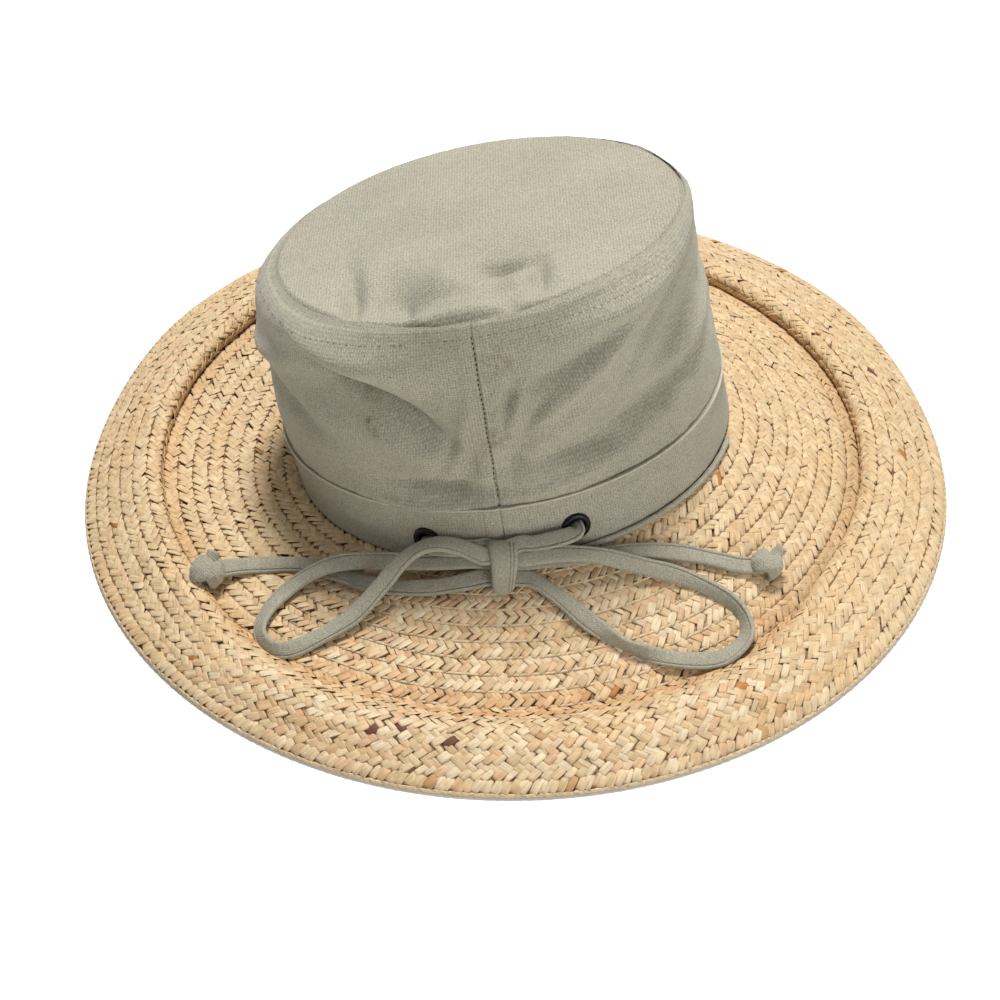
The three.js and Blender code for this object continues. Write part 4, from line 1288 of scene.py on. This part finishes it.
# %% Base welt
welt_columns, welt_sides = 160, 14
welt_turns = np.linspace(284, 344, welt_columns)
welt_radius = base_radius + seam_gap + 1.1 * mm
welt_line = base_point(welt_turns, welt_radius)
welt_share = (welt_radius - base_radius) / (crease_radius - base_radius)
base_z = base_point(welt_turns, base_radius)[:, 2]
welt_line[:, 2] = base_z + (crease_height - base_z) * welt_share + seam_gap + 1.1 * mm
welt_spin = np.linspace(0, 2 * math.pi, welt_sides, endpoint=False)[None, :]
welt_size = 1.15 * mm * (1 + 0.08 * np.sin(3 * welt_spin + np.linspace(0, 60, welt_columns)[:, None]))
welt_size = welt_size * smoothstep(np.minimum(welt_turns - 283.5, 344.5 - welt_turns), 0, 4)[:, None] ** 0.5
welt_out = np.stack([np.cos(np.radians(welt_turns)), np.sin(np.radians(welt_turns)), 0 * welt_turns], axis=1)
welt_points = (welt_line[:, None] + welt_size[..., None] * (np.cos(welt_spin)[..., None] * welt_out[:, None]
               + np.sin(welt_spin)[..., None] * np.array((0, 0, 1))))
welt = sleeve_piece("casing_edge", welt_points, welt_columns, welt_sides, canvas, 97 * mm, 7.2 * mm)
finish_piece(welt, "canvas", "base_welt")

# %% [markdown]
# ## Stitches
# A stitch is a short length of thread that rises out of the cloth and goes in again. Each is a small bent
# capsule laid along its seam: dark thread down the back seam, and thread of the canvas's own colour round the
# tip. All the stitches of a seam are one mesh.


# %% Stitches
def make_stitches(name, starts, ends, normals, thickness, material):
    """One closed capsule for each stitch, from its start to its end, arched a little along its normal."""
    t = np.linspace(-1, 1, 5)[None, :, None, None]
    spin = np.linspace(0, 2 * math.pi, 6, endpoint=False)[None, None, :, None]
    middle, half = ((starts + ends) / 2)[:, None, None], ((ends - starts) / 2)[:, None, None]
    normal = normals[:, None, None]
    side = np.cross(half, normal)
    side /= np.linalg.norm(side, axis=-1, keepdims=True)
    size = thickness / 2 * np.sqrt(np.clip(1.08 - t**2, 0.05, 1))
    arch = thickness * (0.55 * (1 - t**2) - 0.35)
    points = middle + half * t + normal * (arch + size * np.sin(spin)) + side * size * np.cos(spin)
    quads = []
    for station in range(4):
        for k in range(6):
            a, b = station * 6 + k, station * 6 + (k + 1) % 6
            quads.append([a, a + 6, b + 6, b])
    quads += [list(range(6)), [24 + k for k in reversed(range(6))]]
    faces = [[corner + 30 * index for corner in quad] for index in range(len(starts)) for quad in quads]
    piece = make_piece(name, points, faces, material)
    return finish_piece(piece, "canvas")


def wall_stitches(name, turns, rises, pitch, cover, thickness, material, fine):
    """Stitches along a line on the wall, given as a dense run of turns and rises."""
    line = wall_point(turns, rises, fine=fine(turns, rises))
    run = run_along(line)
    marks = np.arange(pitch, run[-1] - pitch, pitch)

    def at(distance):
        turn, rise = np.interp(distance, run, turns), np.interp(distance, run, rises)
        return wall_point(turn, rise, fine=fine(turn, rise)), wall_normal(turn, rise)

    start, normal = at(marks)
    end, _ = at(marks + cover * pitch)
    return make_stitches(name, start, end, normal, thickness, material)


around = np.linspace(0.5, 359.5, 1600)
wall_stitches("tip_stitches", around, 0.957 + 0.003 * wander(around, 0 * around, 51, 5, 12), 2.9 * mm, 0.6,
              0.3 * mm, thread, lambda turn, rise: wall_fine(turn, rise) - 0.06 * mm)
up_seam = np.linspace(wall_low + 0.01, 0.975, 500)
seam_wave = seam_turn + 0.02 + 0.16 * np.sin(up_seam * 31)
wall_stitches("seam_stitches", seam_wave, up_seam, 2.2 * mm, 0.6, 0.42 * mm, dark_thread,
              lambda turn, rise: wall_fine(turn, rise) + 0.3 * mm)

# %% [markdown]
# ## Floor and light
# The photograph has a white ground and soft light from all round, with a stronger soft light from high
# behind the hat, which throws the strands' shadows towards the viewer. A weak light stands low at the right.

# %% Floor and light
floor_finish, _ = new_finish("floor", Base_Color=linear("f7f7f5"), Roughness=0.9, Specular_IOR_Level=0.1)
bpy.ops.mesh.primitive_plane_add(size=8, location=(0, 0, 0))
floor = bpy.context.object
floor.name = "floor"
floor.data.materials.append(floor_finish)

world = bpy.data.worlds.new("studio")
bpy.context.scene.world = world
world.use_nodes = True
world.node_tree.nodes["Background"].inputs[0].default_value = (1, 1, 1, 1)
world.node_tree.nodes["Background"].inputs[1].default_value = 0.34


def soft_light(name, place, size, power):
    data = bpy.data.lights.new(name, "AREA")
    data.shape, data.size, data.energy = "DISK", size, power
    light = bpy.data.objects.new(name, data)
    bpy.context.scene.collection.objects.link(light)
    light.location = place
    light.rotation_mode = "QUATERNION"
    light.rotation_quaternion = (-Vector(place)).to_track_quat("-Z", "Y")
    return light


soft_light("high key", (0.03, 0.55, 1.85), 0.45, 46.5)
soft_light("low fill", (0.85, -1.25, 0.45), 0.7, 10)
bpy.context.scene.view_settings.view_transform = "Standard"
